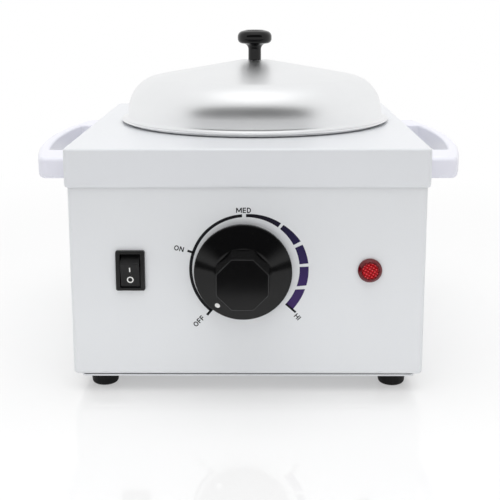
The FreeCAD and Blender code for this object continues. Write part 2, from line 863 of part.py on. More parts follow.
def make_plate_screws():
    spots = [(x, y, size.foot_height) for x, y in plate_screw_spots]
    screw_set("bottom_plate_screws", spots, size.m3_radius, size.m3_head_radius, size.m3_head_height,
              size.plate_sheet + size.housing_sheet + size.screw_bite, FORWARD, 180)


def make_foot_fixings():
    """A screw up through each foot and the bottom plate, with its nut inside."""
    spots = [(side * foot_x, end * foot_y, size.foot_recess_depth) for name, side, end in foot_spots]
    length = plate_top - size.foot_recess_depth + size.m4_nut_thick + size.screw_tail
    screw_set("foot_screws", spots, size.m4_radius, size.m4_head_radius, size.m4_head_height, length,
              FORWARD, 180)
    tops = [(side * foot_x, end * foot_y, plate_top) for name, side, end in foot_spots]
    nut_set("foot_nuts", tops, size.m4_nut_flats, size.m4_nut_thick, hole4)


# ---------------------------------------------------------------- well, pot and lid

def make_heating_well():
    """Drawn aluminium cup whose flange is clamped up against the underside of the cover."""
    body = new_body("heating_well")
    place(body, size.pot_across, size.pot_back, well_flange_under)
    sheet = size.well_sheet
    floor = sheet - size.well_depth
    section = sketch_on(body, "XZ_Plane", "WellSection")
    outline(section, [
        (0, floor),
        (size.well_radius, floor, size.well_base_round + sheet),
        (size.well_radius, 0),
        (well_flange_radius, 0),
        (well_flange_radius, sheet),
        (size.well_radius - sheet, sheet),
        (size.well_radius - sheet, floor + sheet, size.well_base_round),
        (0, floor + sheet),
    ])
    revolve(body, section)
    hole = sketch_on(body, "XY_Plane", "WellStudHole")
    circle(hole, hole3, stud_circle * cosine(45), stud_circle * sine(45))
    repeat_round(body, pocket(body, hole, size.well_sheet, backward=True), hole, size.studs)


def make_clamp_ring():
    """Ring under the well's flange, which the stud nuts press up."""
    body = new_body("well_clamp_ring")
    place(body, size.pot_across, size.pot_back, ring_under)
    plan = sketch_on(body, "XY_Plane", "RingPlan")
    circle(plan, well_flange_radius + size.clamp_ring_overlap)
    circle(plan, size.well_radius + size.ring_gap)
    pad(body, plan, size.clamp_ring_sheet)
    hole = sketch_on(body, "XY_Plane", "RingHole")
    circle(hole, hole3, stud_circle * cosine(45), stud_circle * sine(45))
    repeat_round(body, pocket(body, hole, backward=True), hole, size.studs)


def make_well_studs():
    """Studs welded under the cover, and the nuts that pull the ring and the well's flange up."""
    drop = size.well_sheet + size.clamp_ring_sheet + size.m3_nut_thick
    studs = []
    nut_spots = []
    for i in range(int(number(size.studs))):
        bearing = 45 + i * (360 / size.studs)
        x = size.pot_across + stud_circle * cosine(bearing)
        y = size.pot_back + stud_circle * sine(bearing)
        stud = cylinder(f"well_stud{i}", size.m3_radius, drop + size.screw_tail)
        place(stud, x, y, cover_under - drop - size.screw_tail)
        studs.append(stud)
        nut_spots.append((x, y, cover_under - drop))
    gather("well_studs", studs)
    nut_set("well_nuts", nut_spots, size.m3_nut_flats, size.m3_nut_thick, hole3)


def make_inner_pot():
    """Lift-out aluminium pot that hangs in the well by its flange, which rests on the cover."""
    body = new_body("inner_pot")
    place(body, size.pot_across, size.pot_back, pot_seat)
    sheet = size.pot_sheet
    radius = size.well_radius - size.well_sheet - size.pot_gap
    floor = well_floor + size.well_sheet + size.pot_floor_gap - pot_seat
    section = sketch_on(body, "XZ_Plane", "PotSection")
    outline(section, [
        (0, floor),
        (radius, floor, size.pot_base_round + sheet),
        (radius, 0),
        (pot_flange_radius, 0),
        (pot_flange_radius, sheet),
        (radius - sheet, sheet, size.pot_neck_round),
        (radius - sheet, floor + sheet, size.pot_base_round),
        (0, floor + sheet),
    ])
    revolve(body, section)


def make_lid():
    """Spun aluminium lid: a flat rim, a near-upright wall, a round shoulder and a shallow cone."""
    body = new_body("lid")
    place(body, size.pot_across, size.pot_back, lid_seat)
    sheet = size.lid_sheet
    crown = lid_crown_height
    wall = lid_rim_radius - size.lid_rim
    shoulder = wall - size.lid_wall_lean
    section = sketch_on(body, "XZ_Plane", "LidSection")
    outline(section, [
        (hole4, crown - sheet),
        (size.lid_crown_radius, crown - sheet),
        (shoulder - sheet, size.lid_shoulder_height - sheet, size.lid_shoulder_round - sheet),
        (wall - sheet, 0),
        (lid_rim_radius, 0),
        (lid_rim_radius, sheet),
        (wall, sheet, size.lid_flare_round),
        (shoulder, size.lid_shoulder_height, size.lid_shoulder_round),
        (size.lid_crown_radius, crown),
        (hole4, crown),
    ])
    revolve(body, section)


def make_lid_knob():
    """Turned mushroom knob with a dished top and a blind bore for its screw."""
    body = new_body("lid_knob")
    place(body, size.pot_across, size.pot_back, lid_seat + lid_crown_height)
    head, stem = size.lid_knob_head, size.lid_knob_stem
    rim = size.lid_knob_height - size.lid_knob_rim_drop
    under = rim - size.lid_knob_head_thick
    neck = under - size.lid_knob_neck_drop
    section = sketch_on(body, "XZ_Plane", "LidKnobSection")
    outline(section, [
        (hole4, 0),
        (stem, 0),
        (stem, neck, size.lid_knob_neck_round),
        (head, under, size.lid_knob_under_round),
        (head, rim, size.lid_knob_rim_round),
        (size.lid_knob_dish, size.lid_knob_height),
        (size.lid_knob_dish - size.lid_knob_dish_slope, size.lid_knob_height - size.lid_knob_dish_depth),
        (0, size.lid_knob_height - size.lid_knob_dish_depth),
        (0, lid_knob_bore_depth),
        (hole4, lid_knob_bore_depth),
    ])
    revolve(body, section)


def make_lid_fixings():
    """Washer and screw under the crown of the lid."""
    under = lid_seat + lid_crown_height - size.lid_sheet
    washer = new_body("lid_knob_washer")
    place(washer, size.pot_across, size.pot_back, under - size.washer_thick)
    plan = sketch_on(washer, "XY_Plane", "WasherPlan")
    circle(plan, size.washer_radius)
    circle(plan, hole4)
    pad(washer, plan, size.washer_thick)
    length = size.washer_thick + size.lid_sheet + lid_knob_bore_depth - size.bore_end_gap
    screw_set("lid_knob_screw", [(size.pot_across, size.pot_back, under - size.washer_thick)], size.m4_radius,
              size.m4_head_radius, size.m4_head_height, length, FORWARD, 180)


# ---------------------------------------------------------------- thermostat and its knob

def on_panel(body, across, out=0):
    """Puts a piece on the front panel: its local XY is the panel and its +Z points at the user."""
    place(body, across, panel_front - out, controls_height, FORWARD, 90)


def make_thermostat_body():
    """Capillary thermostat: a block behind the panel with a short boss through it."""
    body = new_body("thermostat_body")
    on_panel(body, size.knob_across)
    back = -(size.housing_sheet + size.thermostat_depth)
    plan = sketch_on(body, "XY_Plane", "ThermostatPlan", shift=back)
    rectangle(plan, size.thermostat_width, size.thermostat_height, size.thermostat_round)
    pad(body, plan, size.thermostat_depth)
    boss = sketch_on(body, "XY_Plane", "ThermostatBoss", shift=-size.housing_sheet)
    circle(boss, size.thermostat_boss)
    pad(body, boss, size.housing_sheet + size.thermostat_boss_rise)
    bore = sketch_on(body, "XY_Plane", "ThermostatBore", shift=size.thermostat_boss_rise)
    circle(bore, size.spindle_radius + size.running_gap)
    pocket(body, bore, size.thermostat_boss_rise + spindle_back + size.spindle_end_gap)
    taps = sketch_on(body, "XY_Plane", "ThermostatTaps", shift=-size.housing_sheet)
    for across in thermostat_screw_spots:
        circle(taps, hole4, across)
    pocket(body, taps, size.thermostat_tap_depth)


def make_thermostat_screws():
    spots = [(size.knob_across + across, panel_front, controls_height) for across in thermostat_screw_spots]
    length = size.housing_sheet + size.thermostat_tap_depth - size.bore_end_gap
    screw_set("thermostat_screws", spots, size.m4_radius, size.m4_head_radius, size.m4_head_height,
              length, FORWARD, 90)


def make_spindle():
    """Thermostat spindle with a flat for the knob."""
    body = new_body("thermostat_spindle")
    on_panel(body, size.knob_across)
    plan = sketch_on(body, "XY_Plane", "SpindlePlan", shift=-spindle_back)
    circle(plan, size.spindle_radius)
    pad(body, plan, spindle_back + spindle_front)
    flat = sketch_on(body, "XY_Plane", "SpindleFlat", shift=spindle_front)
    rectangle(flat, size.spindle_radius * 2, size.spindle_flat,
              y=size.spindle_radius - size.spindle_flat / 2)
    pocket(body, flat, spindle_front - size.knob_standoff)


def make_control_knob():
    """Domed skirt with an eight-sided grip, hollow behind, and a dot that marks the setting."""
    body = new_body("control_knob")
    on_panel(body, size.knob_across)
    low = size.knob_standoff
    edge = low + size.knob_edge
    dome = low + size.knob_dome_height
    wall = size.knob_skirt_wall
    section = sketch_on(body, "XZ_Plane", "KnobSection")
    outline(section, [
        (0, low),
        (size.knob_hub_radius, low),
        (size.knob_hub_radius, dome - wall),
        (size.knob_dome_radius, dome - wall),
        (size.knob_radius - wall, edge - wall / 2),
        (size.knob_radius - wall, low),
        (size.knob_radius, low),
        (size.knob_radius, edge, size.knob_edge_round),
        (size.knob_dome_radius, dome, size.knob_dome_round),
        (0, dome),
    ])
    revolve(body, section)
    grip = sketch_on(body, "XY_Plane", "KnobGrip", shift=dome - wall)
    polygon(grip, size.knob_grip_flats, 8)
    pad(body, grip, size.knob_height - (dome - wall), draft=size.knob_grip_draft)
    top = number(size.knob_height)
    round_edges(body, edges_of(body, lambda edge: level(edge, top)), size.knob_face_round)
    bore = sketch_on(body, "XY_Plane", "KnobBore", shift=low)
    radius = size.spindle_radius + size.hole_gap
    flat = size.spindle_radius - size.spindle_flat + size.hole_gap
    half = root(radius * radius - flat * flat)
    arc, (left, right) = bend(bore, Vector(-number(half), number(flat), 0), Vector(0, -number(radius), 0),
                              Vector(number(half), number(flat), 0))
    chord = bore.addGeometry(Part.LineSegment(Vector(number(half), number(flat), 0),
                                              Vector(-number(half), number(flat), 0)))
    bore.addConstraint(Sketcher.Constraint("Coincident", arc, right, chord, 1))
    bore.addConstraint(Sketcher.Constraint("Coincident", arc, left, chord, 2))
    bore.addConstraint(Sketcher.Constraint("Coincident", arc, 3, -1, 1))
    bore.addConstraint(Sketcher.Constraint("Horizontal", chord))
    made = bore.addConstraint(Sketcher.Constraint("Radius", arc, number(radius)))
    bore.setExpression(f"Constraints[{made}]", text(radius))
    made = bore.addConstraint(Sketcher.Constraint("DistanceY", -1, 1, chord, 1, number(flat)))
    bore.setExpression(f"Constraints[{made}]", text(flat))
    pocket(body, bore, spindle_front - low + size.spindle_end_gap, backward=True)
    mark = sketch_on(body, "XY_Plane", "KnobMark", shift=dome)
    reach = size.knob_radius - size.knob_mark_inset
    circle(mark, size.knob_mark_radius, -(reach * sine(size.knob_mark_turn)),
           reach * cosine(size.knob_mark_turn))
    slope = size.knob_dome_height - size.knob_edge
    run = size.knob_radius - size.knob_dome_radius
    sunk = slope * (reach - size.knob_dome_radius) / run + size.knob_mark_depth
    pocket(body, mark, sunk)


def make_sensing_parts():
    """Bulb upright against the well, in the gap of the heater band, and its capillary."""
    reach = size.well_radius + size.bulb_radius + size.contact_gap
    bulb_x = size.pot_across + reach * cosine(size.bulb_bearing)
    bulb_y = size.pot_back + reach * sine(size.bulb_bearing)
    bulb_low = well_floor + size.band_rise
    bulb = new_body("sensing_bulb")
    place(bulb, bulb_x, bulb_y, bulb_low)
    section = sketch_on(bulb, "XZ_Plane", "BulbSection")
    outline(section, [
        (0, 0),
        (size.bulb_radius, 0, size.bulb_round),
        (size.bulb_radius, size.bulb_length, size.bulb_round),
        (0, size.bulb_length),
    ])
    revolve(bulb, section)
    tube = new_body("capillary_tube")
    start_x = size.knob_across - size.thermostat_width / 4
    start_y = panel_front + size.housing_sheet + size.thermostat_depth / 2
    start_z = controls_height - size.thermostat_height / 2
    run_x, run_y = bulb_x - start_x, bulb_y - start_y
    run = root(run_x * run_x + run_y * run_y)
    bearing = math.degrees(math.atan2(number(run_y), number(run_x)))
    place(tube, start_x, start_y, start_z, UPWARD, bearing)
    tube.setExpression("Placement.Rotation.Angle", f"atan2({text(run_y)}; {text(run_x)})")
    low = -size.capillary_drop
    rise = bulb_low - start_z
    path = sketch_on(tube, "XZ_Plane", "CapillaryPath")
    curve = size.capillary_bend
    spots = [(0, 0), (0, low + curve), (curve, low), (run - curve, low), (run, low + curve), (run, rise)]
    points = [Vector(number(x), number(z), 0) for x, z in spots]
    down = path.addGeometry(Part.LineSegment(points[0], points[1]))
    along = path.addGeometry(Part.LineSegment(points[2], points[3]))
    up = path.addGeometry(Part.LineSegment(points[4], points[5]))
    knee = curve.value * (1 - math.sqrt(0.5))
    first = bend(path, points[1], Vector(knee, low.value + knee, 0), points[2])
    second = bend(path, points[3], Vector(run.value - knee, low.value + knee, 0), points[4])
    for (arc, (head, tail)), before, after in ((first, down, along), (second, along, up)):
        path.addConstraint(Sketcher.Constraint("Tangent", before, 2, arc, head))
        path.addConstraint(Sketcher.Constraint("Tangent", after, 1, arc, tail))
        made = path.addConstraint(Sketcher.Constraint("Radius", arc, number(curve)))
        path.setExpression(f"Constraints[{made}]", text(curve))
    pin_down(path, down, 1, 0, 0)
    path.addConstraint(Sketcher.Constraint("Vertical", down))
    path.addConstraint(Sketcher.Constraint("Horizontal", along))
    path.addConstraint(Sketcher.Constraint("Vertical", up))
    made = path.addConstraint(Sketcher.Constraint("DistanceY", -1, 1, along, 1, number(low)))
    path.setExpression(f"Constraints[{made}]", text(low))
    pin_down(path, up, 2, run, rise)
    ring = sketch_on(tube, "XY_Plane", "CapillaryRing")
    circle(ring, size.capillary_radius)
    doc.recompute()
    sweep = tube.newObject("PartDesign::AdditivePipe", "CapillarySweep")
    sweep.Profile = ring
    sweep.Spine = path
    doc.recompute()


# ---------------------------------------------------------------- rocker switch and lamp

def make_switch_housing():
    """Snap-in switch body with its bezel and the cavity that the rocker tips in."""
    body = new_body("switch_housing")
    on_panel(body, switch_across)
    bezel = sketch_on(body, "XY_Plane", "SwitchBezel")
    rectangle(bezel, size.bezel_width, size.bezel_height, size.bezel_round)
    pad(body, bezel, size.bezel_thick)
    top = number(size.bezel_thick)
    round_edges(body, edges_of(body, lambda edge: level(edge, top)), size.bezel_edge_round)
    shell = sketch_on(body, "XY_Plane", "SwitchShell")
    rectangle(shell, switch_body_width, switch_body_height)
    pad(body, shell, size.switch_body_depth, backward=True)
    cavity = sketch_on(body, "XY_Plane", "SwitchCavity", shift=size.bezel_thick)
    rectangle(cavity, switch_body_width - size.switch_wall * 2, switch_cavity_height)
    pocket(body, cavity, size.bezel_thick + size.switch_cavity_depth)
    pivots = sketch_on(body, "YZ_Plane", "SwitchPivots")
    circle(pivots, size.rocker_pin_radius + size.running_gap, 0, -size.rocker_pivot_depth)
    pocket(body, pivots, both=True)


def make_rocker():
    """Rocker with a dished face, flanks that clear the cavity at full tilt, and a pin at each side."""
    body = new_body("rocker")
    place(body, switch_across, panel_front + size.rocker_pivot_depth, controls_height, FORWARD,
          90 + size.rocker_tilt)
    reach = switch_cavity_height / 2 - size.rocker_end_gap
    rise = size.rocker_pivot_depth + size.rocker_face_rise
    half = (reach - rise * sine(size.rocker_tilt)) / cosine(size.rocker_tilt)
    base = reach / cosine(size.rocker_tilt)
    foot, deep = size.rocker_foot_half, -size.rocker_foot_depth
    plan = sketch_on(body, "YZ_Plane", "RockerSection")
    outline(plan, [
        (-foot, deep),
        (foot, deep),
        (base, 0),
        (half, rise, size.rocker_edge_round),
        (0, rise - size.rocker_dip, size.rocker_dip_round),
        (-half, rise, size.rocker_edge_round),
        (-base, 0),
    ])
    pad(body, plan, switch_body_width - (size.switch_wall + size.rocker_side_gap) * 2, both=True)
    pin = sketch_on(body, "YZ_Plane", "RockerPin")
    circle(pin, size.rocker_pin_radius)
    pad(body, pin, switch_body_width - size.rocker_pin_end_gap * 2, both=True)


def make_switch_terminals():
    """Two spade blades behind the switch."""
    blades = []
    for i, end in enumerate((-1, 1)):
        blade = doc.addObject("Part::Box", f"switch_blade{i}")
        bind(blade, Length=size.blade_width, Width=size.blade_length, Height=size.blade_thick)
        place(blade, switch_across - size.blade_width / 2, panel_front + size.switch_body_depth,
              controls_height + end * (size.blade_spread / 2) - size.blade_thick / 2)
        blades.append(blade)
    gather("switch_terminals", blades)


def make_lamp():
    """Red lens, the barrel behind it, and the nut that holds the barrel to the panel."""
    lens = new_body("lamp_lens")
    on_panel(lens, lamp_across)
    section = sketch_on(lens, "XZ_Plane", "LensSection")
    core = lamp_barrel_radius - size.lamp_barrel_wall - size.contact_gap
    outline(section, [
        (0, -size.lens_core_depth),
        (core, -size.lens_core_depth),
        (core, 0),
        (size.lens_radius, 0),
        (size.lens_radius, size.lens_rim, size.lens_round),
        (size.lens_radius - size.lens_face_inset, size.lens_height, size.lens_round),
        (0, size.lens_height),
    ])
    revolve(lens, section)
    barrel = new_body("lamp_body")
    on_panel(barrel, lamp_across)
    section = sketch_on(barrel, "XZ_Plane", "LampSection")
    bore = lamp_barrel_radius - size.lamp_barrel_wall
    outline(section, [
        (bore, 0),
        (lamp_barrel_radius, 0),
        (lamp_barrel_radius, -size.lamp_length),
        (0, -size.lamp_length),
        (0, size.lamp_floor - size.lamp_length),
        (bore, size.lamp_floor - size.lamp_length),
    ])
    revolve(barrel, section)
    nut = new_body("lamp_nut")
    on_panel(nut, lamp_across)
    plan = sketch_on(nut, "XY_Plane", "LampNutPlan", shift=-(size.housing_sheet + size.lamp_nut_thick))
    polygon(plan, (lamp_barrel_radius + size.lamp_nut_wall) * 2, 6)
    circle(plan, lamp_barrel_radius + size.contact_gap)
    pad(nut, plan, size.lamp_nut_thick)


# ---------------------------------------------------------------- heater and wiring parts

def make_heater_band():
    """Mica heater band round the well, open at one side, with two ears for the clamp bolt."""
    body = new_body("heater_band")
    base = well_floor + size.band_rise
    place(body, size.pot_across, size.pot_back, base, UPWARD, size.bulb_bearing)
    plan = sketch_on(body, "XY_Plane", "BandPlan")
    circle(plan, band_outer)
    circle(plan, band_inner)
    pad(body, plan, size.band_height)
    mouth = sketch_on(body, "XY_Plane", "BandMouth")
    rectangle(mouth, size.band_thick * 4, band_gap, x=band_outer)
    pocket(body, mouth, backward=True)
    ears = sketch_on(body, "XY_Plane", "BandEars")
    for side in (-1, 1):
        rectangle(ears, size.band_ear + size.band_thick / 2, size.band_ear_sheet,
                  x=band_outer + size.band_ear / 2 - size.band_thick / 4,
                  y=side * (band_gap / 2 + size.band_ear_sheet / 2))
    pad(body, ears, size.band_height)
    bolt_hole = sketch_on(body, "XZ_Plane", "BandBoltHole")
    circle(bolt_hole, hole4, band_bolt_reach, size.band_height / 2)
    pocket(body, bolt_hole, band_gap * 2, both=True)


def make_band_bolt():
    """Clamp bolt across the ears of the heater band, with its nut."""
    reach = band_bolt_reach
    half = band_gap / 2 + size.band_ear_sheet
    height = well_floor + size.band_rise + size.band_height / 2
    ahead_x, ahead_y = cosine(size.bulb_bearing), sine(size.bulb_bearing)
    head_x = size.pot_across + reach * ahead_x - half * ahead_y
    head_y = size.pot_back + reach * ahead_y + half * ahead_x
    nut_x = size.pot_across + reach * ahead_x + half * ahead_y
    nut_y = size.pot_back + reach * ahead_y - half * ahead_x
    along = Rotation(UPWARD, number(size.bulb_bearing)) * Rotation(FORWARD, -90)
    group = screw_set("band_clamp_bolt", [(head_x, head_y, height)], size.m4_radius, size.m4_head_radius,
                      size.m4_head_height, half * 2 + size.m4_nut_thick + size.screw_tail)
    group.Links[0].Placement.Rotation = along
    nuts = nut_set("band_clamp_nut", [(nut_x, nut_y, height)], size.m4_nut_flats, size.m4_nut_thick, hole4)
    nuts.Links[0].Placement.Rotation = Rotation(UPWARD, number(size.bulb_bearing)) * Rotation(FORWARD, 90)


def make_blanket():
    """Glass-fibre jacket round the band, open where the bulb and the ears are."""
    body = new_body("insulation_blanket")
    place(body, size.pot_across, size.pot_back, well_floor + size.blanket_rise, UPWARD, size.bulb_bearing)
    inner = band_outer + size.blanket_clearance
    plan = sketch_on(body, "XY_Plane", "BlanketPlan")
    circle(plan, inner + size.blanket_thick)
    circle(plan, inner)
    pad(body, plan, size.blanket_height)
    mouth = sketch_on(body, "XY_Plane", "BlanketMouth")
    rectangle(mouth, size.blanket_thick * 6, band_gap + size.blanket_ear_gap * 2, x=inner)
    pocket(body, mouth, backward=True)


def make_thermal_fuse():
    """Axial thermal cut-off that lies against the floor of the well."""
    body = new_body("thermal_fuse")
    height = well_floor - size.fuse_radius - size.contact_gap
    place(body, size.pot_across + size.fuse_across, size.pot_back, height, SIDEWAYS, 90)
    plan = sketch_on(body, "XY_Plane", "FuseBody")
    circle(plan, size.fuse_radius)
    pad(body, plan, size.fuse_length, both=True)
    leads = sketch_on(body, "XY_Plane", "FuseLeads")
    circle(leads, size.fuse_lead_radius)
    pad(body, leads, size.fuse_length + size.fuse_lead_length * 2, both=True)


def make_terminal_block():
    """Three-way block for the mains wires, screwed to the bottom plate."""
    body = new_body("terminal_block")
    place(body, block_across, block_back, plate_top)
    plan = sketch_on(body, "XY_Plane", "BlockPlan")
    rectangle(plan, size.block_width, size.block_depth, size.block_round)
    pad(body, plan, size.block_height)
    ways = sketch_on(body, "XZ_Plane", "BlockWays")
    for step in (-1, 0, 1):
        circle(ways, size.block_bore_radius, step * size.block_pitch, size.block_bore_rise)
    pocket(body, ways, both=True)
    taps = sketch_on(body, "XY_Plane", "BlockTaps")
    for side in (-1, 1):
        circle(taps, hole3, side * size.block_pitch)
    pocket(body, taps, block_tap_depth, backward=True)
    spots = [(x, y, size.foot_height) for x, y in block_screw_spots]
    screw_set("terminal_block_screws", spots, size.m3_radius, size.m3_head_radius, size.m3_head_height,
              size.plate_sheet + block_tap_depth - size.bore_end_gap, FORWARD, 180)


def make_earth_stud():
    spot = (earth_across, earth_back, size.foot_height)
    screw_set("earth_stud", [spot], size.m4_radius, size.m4_head_radius, size.m4_head_height,
              size.earth_length, FORWARD, 180)
    nut_set("earth_nut", [(earth_across, earth_back, plate_top)], size.m4_nut_flats,
            size.m4_nut_thick, hole4)


def make_gland():
    """Cord gland through the back wall, with its nut inside."""
    height = plate_top + size.gland_rise
    gland = new_body("cord_gland")
    place(gland, gland_across, panel_back, height, FORWARD, -90)
    section = sketch_on(gland, "XZ_Plane", "GlandSection")
    inside = -(size.housing_sheet + size.gland_barrel_length)
    nose = size.gland_hex_thick + size.gland_nose_length
    collar = gland_barrel_radius + size.gland_hex_wall - size.gland_collar_inset
    outline(section, [
        (size.gland_bore_radius, inside),
        (gland_barrel_radius, inside),
        (gland_barrel_radius, 0),
        (collar, 0),
        (collar, size.gland_hex_thick + size.gland_collar_length),
        (size.gland_bore_radius + size.gland_nose_wall, nose, size.gland_nose_round),
        (size.gland_bore_radius, nose),
    ])
    revolve(gland, section)
    hexagon = sketch_on(gland, "XY_Plane", "GlandHex")
    polygon(hexagon, (gland_barrel_radius + size.gland_hex_wall) * 2, 6)
    circle(hexagon, size.gland_bore_radius)
    pad(gland, hexagon, size.gland_hex_thick)
    flats = (gland_barrel_radius + size.gland_nut_wall) * 2
    nut_set("gland_nut", [(gland_across, panel_back - size.housing_sheet, height)], flats,
            size.gland_nut_thick, gland_barrel_radius + size.hole_gap, FORWARD, 90)


make_top_cover()
make_lower_housing()
make_bottom_plate()
for foot_label, foot_side, foot_end in foot_spots:
    make_foot(foot_label, foot_side, foot_end)
make_handle("left_handle", -1)
make_handle("right_handle", 1)
make_handle_screws()
make_plate_screws()
make_foot_fixings()
make_heating_well()
make_clamp_ring()
make_well_studs()
make_inner_pot()
make_lid()
make_lid_knob()
make_lid_fixings()
make_thermostat_body()
make_thermostat_screws()
make_spindle()
make_control_knob()
make_sensing_parts()
make_switch_housing()
make_rocker()
make_switch_terminals()
make_lamp()
make_heater_band()
make_band_bolt()
make_blanket()
make_thermal_fuse()
make_terminal_block()
make_earth_stud()
make_gland()


# ---------------------------------------------------------------- check and write

doc.recompute()
for thing in doc.Objects:
    if "Invalid" in thing.State or "Error" in thing.State:
        raise RuntimeError(f"{thing.Name} failed: {thing.State}")

os.makedirs("parts", exist_ok=True)
nodes = [thing for thing in doc.Objects if thing.TypeId in ("PartDesign::Body", "Part::Compound")]
for node in nodes:
    shape = node.Shape
    if shape.isNull() or not shape.isValid() or not shape.Solids:
        raise RuntimeError(f"{node.Label} has no valid solid")
    shape.exportStep(f"parts/{node.Label}.step")
print(len(nodes), "nodes written")
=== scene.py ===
import math

import bmesh
import bpy
from mathutils import Matrix, Vector


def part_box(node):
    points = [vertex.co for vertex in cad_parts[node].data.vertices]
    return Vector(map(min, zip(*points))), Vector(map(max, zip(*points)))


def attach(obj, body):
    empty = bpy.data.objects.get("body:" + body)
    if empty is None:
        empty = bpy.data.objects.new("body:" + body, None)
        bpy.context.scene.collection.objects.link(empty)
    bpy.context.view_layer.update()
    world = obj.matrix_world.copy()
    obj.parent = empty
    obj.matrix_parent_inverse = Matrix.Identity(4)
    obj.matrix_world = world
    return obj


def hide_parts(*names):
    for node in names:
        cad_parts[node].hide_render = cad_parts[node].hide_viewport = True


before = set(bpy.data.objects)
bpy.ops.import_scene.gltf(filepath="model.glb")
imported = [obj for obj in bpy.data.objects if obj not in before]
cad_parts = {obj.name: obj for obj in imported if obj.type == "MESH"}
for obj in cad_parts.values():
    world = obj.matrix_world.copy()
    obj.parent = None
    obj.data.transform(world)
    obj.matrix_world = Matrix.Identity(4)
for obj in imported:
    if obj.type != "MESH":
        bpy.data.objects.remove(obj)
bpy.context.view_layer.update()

# ------------------------ housing
# A box folded from one millimetre steel sheet, closed at its foot by a vented plate.
# The sheet is powder coated in gloss white, the plate is zinc plated and screwed to the box's lip.
MM = 0.001


class Wire:
    """One output of a node, on which arithmetic adds Math nodes."""

    def __init__(self, nodes, socket):
        self.nodes = nodes
        self.socket = socket

    def __getitem__(self, name):
        return Wire(self.nodes, self.socket.node.outputs[name])

    def math(self, operation, *values):
        return self.nodes.node("ShaderNodeMath", {"operation": operation}, dict(enumerate(values)))

    def __add__(self, other):
        return self.math("ADD", self, other)

    def __sub__(self, other):
        return self.math("SUBTRACT", self, other)

    def __rsub__(self, other):
        return self.math("SUBTRACT", other, self)

    def __mul__(self, other):
        return self.math("MULTIPLY", self, other)

    def __truediv__(self, other):
        return self.math("DIVIDE", self, other)

    __radd__ = __add__
    __rmul__ = __mul__

    def larger(self, other):
        return self.math("MAXIMUM", self, other)

    def cosine(self):
        return self.math("COSINE", self)

    def step(self, low, high):
        """Rises smoothly from 0 at low to 1 at high."""
        sockets = {"Value": self, "From Min": low, "From Max": high}
        return self.nodes.node("ShaderNodeMapRange", {"interpolation_type": "SMOOTHSTEP"}, sockets)

    def between(self, first, second):
        """Mixes two colours, the first where this is 0 and the second where it is 1."""
        sockets = {"Factor": self, "A": first, "B": second}
        return self.nodes.node("ShaderNodeMix", {"data_type": "RGBA"}, sockets)


class Nodes:
    """A node tree, and the one way to add any node to it."""

    def __init__(self, tree):
        self.tree = tree

    def node(self, kind, settings=None, sockets=None):
        """Adds a node, makes its settings, fills its sockets, and gives its first output back."""
        node = self.tree.nodes.new(kind)
        for setting, value in (settings or {}).items():
            if setting != "stops":
                setattr(node, setting, value)
                continue
            stops = node.color_ramp.elements
            while len(stops) < len(value):
                stops.new(1.0)
            for stop, (position, colour) in zip(stops, value):
                stop.position = position
                stop.color = colour
        for key, value in (sockets or {}).items():
            if isinstance(key, int):
                socket = node.inputs[key]
            else:
                socket = next(s for s in node.inputs if s.enabled and s.name == key)
            self.fill(socket, value)
        outputs = [s for s in node.outputs if s.enabled]
        return Wire(self, outputs[0]) if outputs else None

    def fill(self, socket, value):
        if isinstance(value, Wire):
            self.tree.links.new(value.socket, socket)
        else:
            socket.default_value = value

    def vector(self, operation, *values):
        return self.node("ShaderNodeVectorMath", {"operation": operation}, dict(enumerate(values)))

    def white(self, strength, kind="ShaderNodeEmission"):
        return self.node(kind, None, {"Color": (1, 1, 1, 1), "Strength": strength})

    def seen(self):
        """1 for what is seen directly, in a mirror or through glass, and 0 for what only lights."""
        rays = self.node("ShaderNodeLightPath")
        return rays["Is Camera Ray"].larger(rays["Is Glossy Ray"]).larger(rays["Is Transmission Ray"])


class Finish(Nodes):
    """A material made of nodes around one Principled shader."""

    def __init__(self, name, **constants):
        self.material = bpy.data.materials.new(name)
        self.material.use_nodes = True
        super().__init__(self.material.node_tree)
        self.shader = self.tree.nodes["Principled BSDF"]
        self.set(**constants)

    def place(self):
        """The point on the piece, in metres, in the object's own frame."""
        return self.node("ShaderNodeTexCoord")["Object"]

    def noise(self, scale, detail=2.0, vector=None):
        sockets = {"Scale": scale, "Detail": detail, "Vector": vector or self.place()}
        return self.node("ShaderNodeTexNoise", None, sockets)

    def stretched(self, *scale):
        """The place on the piece, scaled along each axis."""
        return self.node("ShaderNodeMapping", None, {"Vector": self.place(), "Scale": scale})

    def split(self):
        """The place on the piece, to be read one axis at a time."""
        return self.node("ShaderNodeSeparateXYZ", None, {"Vector": self.place()})

    def bump(self, height, distance, under=None):
        """Relief of that height in metres, over another relief where there is one."""
        sockets = {"Height": height, "Distance": distance, "Strength": 1.0}
        if under:
            sockets["Normal"] = under
        return self.node("ShaderNodeBump", None, sockets)

    def set(self, **values):
        for socket, value in values.items():
            self.fill(self.shader.inputs[socket.replace("_", " ")], value)
        return self.material

    def show(self, factor, first, second):
        """Shows the first shader where the factor is 0, and the second where it is 1."""
        mix = self.node("ShaderNodeMixShader", None, {0: factor, 1: first, 2: second})
        self.fill(self.tree.nodes["Material Output"].inputs["Surface"], mix)


def tone(red, green, blue):
    """Colour as a screen shows it, from 0 to 255, as the shader's linear colour."""
    linear = [((c / 255 + 0.055) / 1.055) ** 2.4 if c > 10 else c / 255 / 12.92 for c in (red, green, blue)]
    return (*linear, 1.0)


def powder_coat(name, light, shade):
    """Baked powder: gloss over a fine orange peel, a trace darker where it lies thinner."""
    coat = Finish(name, IOR=1.5)
    cloud = coat.noise(14.0, 3.0)
    peel = coat.noise(620.0, 1.0)
    pores = coat.noise(3200.0)
    normal = coat.bump(pores, 0.000004, coat.bump(peel, 0.00003))
    return coat.set(Base_Color=cloud.between(light, shade), Roughness=peel * 0.10 + 0.27, Normal=normal)


